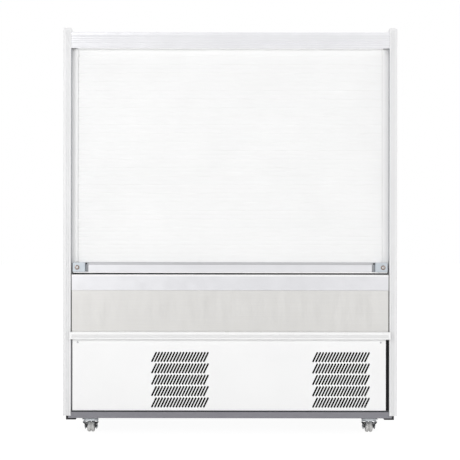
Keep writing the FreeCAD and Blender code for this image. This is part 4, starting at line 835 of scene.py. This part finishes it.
def add_lock_rings():
    """Dark bezel on each lock barrel, and a bright plug face split by its keyway."""
    for name in ("left", "right"):
        low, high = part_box("lock_barrel_" + name)
        x, y, z = (low.x + high.x) / 2, low.y, (low.z + high.z) / 2
        body = "lock_turn_" + name
        bm = bmesh.new()
        turned(bm, scaled(BEZEL), "Y", (x, y, z), 40)
        finish_piece(bm, "lock_bezel_" + name, "lock_brass", body, look="bronze")
        bm = bmesh.new()
        for half in SIDES:
            rim = []
            for i in range(13):
                turn = math.radians(-80 + 160 * i / 12)
                rim.append((x + half * max(KEYWAY_HALF, PLUG_RADIUS * math.cos(turn)),
                            z + PLUG_RADIUS * math.sin(turn)))
            prism(bm, rim, "Y", y - PLUG_PROUD, y + PLUG_SEAT)
        split_wide_faces(bm)
        finish_piece(bm, "lock_plug_" + name, "lock_brass", body, bevel=0.25 * MM,
                     look="screw_steel")


add_curtain()
add_fascia()
add_bumper()
add_side_gaskets()
add_guide_heads()
add_plinth_shadow_hem()
add_panel_flange()
add_vent_filters()
add_rail_details()
add_edge_highlights()
add_lock_rings()

# ---- Back, sides and top ----
back_low, back_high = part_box("back_panel")
side_low, side_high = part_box("end_panel_right")
top_low, top_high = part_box("top_panel")
shutter_box_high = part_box("shutter_box")[1]
RIVET = ((0.0, 0.0), (0.0, 3.2), (0.5, 3.1), (1.1, 2.2), (1.4, 0.0))
SEATED = 0.05 * MM


def rivet(bm, place, axis, size=1.0):
    """Domed rivet head standing on a surface."""
    profile = [(size * a, size * r) for a, r in scaled(RIVET)]
    turned(bm, profile, axis, place, 14)


def evenly(low, high, count):
    """Equally spaced places from low to high."""
    return [low + (high - low) * i / (count - 1) for i in range(count)]


LOUVRE_STEPS = 12
LOUVRE_LEAST = 0.02


def louvre(bm, x, y, z, width, height, depth):
    """Pressed hood on the back panel, open along its lower lip."""
    rings = []
    for i in range(LOUVRE_STEPS + 1):
        share = i / LOUVRE_STEPS
        reach = depth * max(LOUVRE_LEAST, 1 - abs(2 * share - 1) ** 6) ** 0.5
        line = [(0.0, 0.0), (reach * 0.96, height * 0.02), (reach, height * 0.12),
                (reach * 0.86, height * 0.38), (reach * 0.5, height * 0.72), (0.0, height)]
        rings.append([bm.verts.new((x + width * (share - 0.5), y + a, z + b)) for a, b in line])
    loft(bm, rings)


BACK_EDGE = 26.0 * MM
SEAM_HALF = 17.0 * MM
BACK_RIVETS = 12
BACK_RIVET_MARGIN = 50.0 * MM
SEAM_RIVET_OFFSETS = (-9.0 * MM, 9.0 * MM)
LOUVRE_GROUPS = (-0.36, 0.0, 0.36)
LOUVRE_COLUMN_PITCH = 150.0 * MM
LOUVRE_ROWS = 9
LOUVRE_ROW_PITCH = 24.0 * MM
LOUVRE_START = 60.0 * MM
LOUVRE_WIDTH, LOUVRE_HEIGHT, LOUVRE_DEPTH = 128.0 * MM, 15.0 * MM, 3.6 * MM


def add_back_details():
    """Edge channels, seam strips with rivets, and the pressed louvres at the foot of the back."""
    y = back_high.y - SEATED
    low, high = back_low.z + 1.0 * MM, back_high.z - 1.0 * MM
    strips = bmesh.new()
    heads = bmesh.new()
    for side in SIDES:
        edge = span(side, inner_x - 0.6 * MM, inner_x - BACK_EDGE)
        block(strips, edge, (y, y + 1.3 * MM), (low, high))
        seam = side * inner_x / 3
        block(strips, (seam - SEAM_HALF, seam + SEAM_HALF), (y, y + 1.1 * MM), (low, high))
        for z in evenly(back_low.z + BACK_RIVET_MARGIN, back_high.z - BACK_RIVET_MARGIN,
                        BACK_RIVETS):
            rivet(heads, (side * (inner_x - BACK_EDGE / 2), y + 1.2 * MM, z), "Y")
            for offset in SEAM_RIVET_OFFSETS:
                rivet(heads, (seam + offset, y + 1.0 * MM, z), "Y")
    half = inner_x - BACK_EDGE - 0.2 * MM
    for z in (low, back_high.z - 25.0 * MM):
        block(strips, (-half, half), (y, y + 1.2 * MM), (z, z + 24.0 * MM))
    finish_piece(strips, "back_strips", "insulated_panel", "cabinet", bevel=0.5 * MM)
    finish_piece(heads, "back_rivets", "screw_steel", "cabinet")
    hoods = bmesh.new()
    slits = bmesh.new()
    slit_half = LOUVRE_WIDTH * 0.46
    for group in LOUVRE_GROUPS:
        for column in (-0.5, 0.5):
            x = group + column * LOUVRE_COLUMN_PITCH
            for row in range(LOUVRE_ROWS):
                z = back_low.z + LOUVRE_START + row * LOUVRE_ROW_PITCH
                louvre(hoods, x, y, z, LOUVRE_WIDTH, LOUVRE_HEIGHT, LOUVRE_DEPTH)
                block(slits, (x - slit_half, x + slit_half), (y, y + 0.25 * MM),
                      (z - 1.6 * MM, z - 0.1 * MM))
    finish_piece(hoods, "back_louvres", "insulated_panel", "cabinet", smooth=50.0)
    finish_piece(slits, "back_louvre_slits", "black_plastic", "cabinet")


CORNER_PROFILE = 30.0 * MM
FOOT_STRIP, HEAD_STRIP = 26.0 * MM, 22.0 * MM
BOLT_CAP = ((0.0, 0.0), (0.0, 12.5), (0.5, 12.3), (1.1, 11.0), (1.3, 8.0), (1.3, 0.0))
BOLT_HEIGHTS = (0.32, 1.02, 1.62)
BOLT_FROM_FRONT, BOLT_FROM_BACK = 70.0 * MM, 90.0 * MM


def add_side_details():
    """Rear corner profile, foot and head strips and joining-bolt caps on each end panel."""
    low, high = side_low.z + 0.5 * MM, side_high.z - 0.5 * MM
    front = side_low.y + 1.0 * MM
    corner = side_high.y - CORNER_PROFILE
    profiles = bmesh.new()
    caps = bmesh.new()
    for side in SIDES:
        face = side * side_high.x
        x = sorted((face - side * 0.1 * MM, face + side * 1.2 * MM))
        block(profiles, x, (corner, side_high.y - 0.3 * MM), (low, high))
        for z in ((low, side_low.z + FOOT_STRIP), (side_high.z - HEAD_STRIP, high)):
            block(profiles, x, (front, corner - 0.5 * MM), z)
        for z in BOLT_HEIGHTS:
            for y in (side_low.y + BOLT_FROM_FRONT, side_high.y - BOLT_FROM_BACK):
                cap = [(side * a, r) for a, r in scaled(BOLT_CAP)]
                turned(caps, cap, "X", (face, y, z), 28)
    finish_piece(profiles, "side_profiles", "trim_white", "cabinet", bevel=0.5 * MM)
    finish_piece(caps, "side_bolt_caps", "white_plastic", "cabinet")


TOP_SEAM_HALF = 15.0 * MM
TOP_EDGE = (1.0 * MM, 19.0 * MM)
TOP_RIVET_INSET = 10.0 * MM
BOX_SCREWS = 10
BOX_SCREW_SIZE = 1.2
COVER_FLANGE = 8.0 * MM


def add_top_details():
    """Seams, screws and the cable cover on top of the cabinet."""
    z = top_high.z
    y_range = (top_low.y + 2.0 * MM, top_high.y - 2.0 * MM)
    z_range = (z - SEATED, z + 1.2 * MM)
    head_z = z + 1.1 * MM
    strips = bmesh.new()
    heads = bmesh.new()
    for x in (-inner_x / 3, inner_x / 3):
        block(strips, (x - TOP_SEAM_HALF, x + TOP_SEAM_HALF), y_range, z_range)
        for y in evenly(top_low.y + 40.0 * MM, top_high.y - 40.0 * MM, 5):
            for offset in (-8.0 * MM, 8.0 * MM):
                rivet(heads, (x + offset, y, head_z), "Z")
    for side in SIDES:
        block(strips, span(side, inner_x - TOP_EDGE[0], inner_x - TOP_EDGE[1]), y_range, z_range)
        for y in evenly(top_low.y + 30.0 * MM, top_high.y - 30.0 * MM, 6):
            rivet(heads, (side * (inner_x - TOP_RIVET_INSET), y, head_z), "Z")
    for x in evenly(-inner_x + 60.0 * MM, inner_x - 60.0 * MM, BOX_SCREWS):
        for y in (shutter_box_high.y - 16.0 * MM, fascia_high.y + 14.0 * MM):
            rivet(heads, (x, y, shutter_box_high.z), "Z", BOX_SCREW_SIZE)
    finish_piece(strips, "top_strips", "insulated_panel", "cabinet", bevel=0.4 * MM)
    finish_piece(heads, "top_rivets", "screw_steel", "cabinet")
    x0, x1 = inner_x - 250.0 * MM, inner_x - 80.0 * MM
    y0, y1 = top_high.y - 130.0 * MM, top_high.y - 30.0 * MM
    cover = bmesh.new()
    block(cover, (x0, x1), (y0, y1), (z - SEATED, z + 12.0 * MM))
    block(cover, (x0 - COVER_FLANGE, x1 + COVER_FLANGE), (y0 - COVER_FLANGE, y1 + COVER_FLANGE),
          (z - SEATED, z + 1.5 * MM))
    finish_piece(cover, "top_cable_cover", "white_paint", "cabinet", bevel=1.5 * MM, segments=3)
    screws = bmesh.new()
    for x in (x0 + COVER_FLANGE, x1 - COVER_FLANGE):
        for y in (y0 + COVER_FLANGE, y1 - COVER_FLANGE):
            rivet(screws, (x, y, z + 11.9 * MM), "Z")
    finish_piece(screws, "top_cover_screws", "screw_steel", "cabinet")


add_back_details()
add_side_details()
add_top_details()

# ---- Casters ----
CASTERS = ("front_left", "front_right", "rear_left", "rear_right")
COVER_OUTLINE = ((1.4, -5.0), (5.65, -6.0), (6.25, 8.0), (16.6, 23.4), (16.6, 26.0),
                 (12.6, 26.5), (1.4, 12.0))
COVER_FOOT, COVER_RISE = -6.0 * MM, 32.0 * MM
COVER_PROUD = 1.6 * MM
COVER_FOOT_REACH = 10.0 * MM
COVER_DEPTH = 7.0 * MM
COVER_STEPS = 6


def add_fork_cover(name):
    """Black covers along the two legs of one caster's fork."""
    low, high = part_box("caster_wheel_" + name)
    x, y, z = (low + high) / 2
    half = (high.x - low.x) / 2
    fork_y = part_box("caster_fork_" + name)[0].y
    bm = bmesh.new()
    for side in SIDES:
        rings = []
        for i in range(COVER_STEPS + 1):
            ring = []
            for a, b in scaled(COVER_OUTLINE):
                reach = min(max((b - COVER_FOOT) / COVER_RISE, 0.0), 1.0)
                front = fork_y - COVER_PROUD + (1 - reach) * (y - COVER_FOOT_REACH - fork_y)
                ring.append(bm.verts.new((x + side * (half + a),
                                          front + i / COVER_STEPS * COVER_DEPTH, z + b)))
            rings.append(ring)
        loft(bm, rings)
    split_wide_faces(bm)
    finish_piece(bm, "fork_cover_" + name, "black_plastic", "swivel_" + name)


for caster_name in CASTERS:
    add_fork_cover(caster_name)
    # Forks and plates take the lighter zinc, painted light against the shade under the cabinet.
    finish_node("caster_fork_" + caster_name, "caster_lit_zinc")
finish_node("caster_plates", "caster_lit_zinc")

# ---- Inside ----
SHELVES = 4
CARDS = 13
STRIP_HEIGHT = 38.0 * MM
STRIP_MARGIN = 10.0 * MM
CARD_EDGE = 3.8 * MM


def add_ticket_cards():
    """Blank price cards in the four ticket strips."""
    low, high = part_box("ticket_strips")
    pitch = (high.z - low.z - STRIP_HEIGHT) / (SHELVES - 1)
    length = (high.x - low.x - 2 * STRIP_MARGIN) / CARDS
    y = (low.y + 0.9 * MM, low.y + 1.5 * MM)
    bm = bmesh.new()
    for i in range(SHELVES):
        z = low.z + i * pitch
        for j in range(CARDS):
            x = low.x + STRIP_MARGIN + j * length
            block(bm, (x + 1.0 * MM, x + length - 1.0 * MM), y,
                  (z + CARD_EDGE, z + STRIP_HEIGHT - CARD_EDGE))
    finish_piece(bm, "ticket_cards", "clear_plastic", "cabinet", bevel=0.2 * MM, segments=1,
                 look="ticket_card")


def add_light_ends():
    """End caps of the lamp channel."""
    low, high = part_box("light_strip")
    y0, y1 = low.y - 0.8 * MM, high.y + 0.8 * MM
    z0, z1 = low.z - 0.4 * MM, high.z - 0.3 * MM
    bm = bmesh.new()
    for side in SIDES:
        prism(bm, [(y0, z0), (y1, z0), (y1, z1), (y0, z1)], "X",
              *span(side, high.x, high.x + 5.0 * MM))
    finish_piece(bm, "lamp_end_caps", "white_plastic", "cabinet", bevel=1.2 * MM)


KEYPAD_X, KEYPAD_DROP = 30.0 * MM, 70.0 * MM
WINDOW_X, WINDOW_Z = (5.0 * MM, 43.0 * MM), (12.0 * MM, 33.0 * MM)
KEY_X, KEY_Z = (54.0, 69.0), (13.0, 28.0)
KEY = ((0.5, 0.0), (0.5, 5.0), (-0.6, 5.0), (-1.2, 4.2), (-1.0, 0.0))


def add_controls():
    """Display window and keys on the keypad of the control box."""
    low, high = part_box("control_box")
    x, y, z = low.x + KEYPAD_X, low.y, high.z - KEYPAD_DROP
    bm = bmesh.new()
    block(bm, (x + WINDOW_X[0], x + WINDOW_X[1]), (y - 0.8 * MM, y + 0.5 * MM),
          (z + WINDOW_Z[0], z + WINDOW_Z[1]))
    finish_piece(bm, "keypad_window", "black_plastic", "cabinet", bevel=0.6 * MM,
                 look="display_glass")
    bm = bmesh.new()
    for key_x in KEY_X:
        for key_z in KEY_Z:
            turned(bm, scaled(KEY), "Y", (x + key_x * MM, y, z + key_z * MM), 24)
    finish_piece(bm, "keypad_keys", "grey_plastic", "cabinet")


TERMINAL_REACH = 88.0 * MM
TERMINAL_RISE = 105.0 * MM
TERMINAL_HALF_HEIGHT = 34.0 * MM
TERMINAL_OUTLINE = ((-30.0, 16.0), (-30.0, -12.0), (-22.0, -20.0),
                    (22.0, -20.0), (30.0, -12.0), (30.0, 16.0))


def add_terminal_cover():
    """Terminal cover on the side of the compressor."""
    low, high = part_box("compressor")
    x = (low.x + high.x) / 2
    y = (low.y + high.y) / 2 - TERMINAL_REACH
    z = low.z + TERMINAL_RISE
    bm = bmesh.new()
    prism(bm, around(x, y, TERMINAL_OUTLINE), "Z", z - TERMINAL_HALF_HEIGHT,
          z + TERMINAL_HALF_HEIGHT)
    split_wide_faces(bm)
    finish_piece(bm, "terminal_cover", "black_plastic", "cabinet", bevel=3.0 * MM, segments=3)


add_ticket_cards()
add_light_ends()
add_controls()
add_terminal_cover()
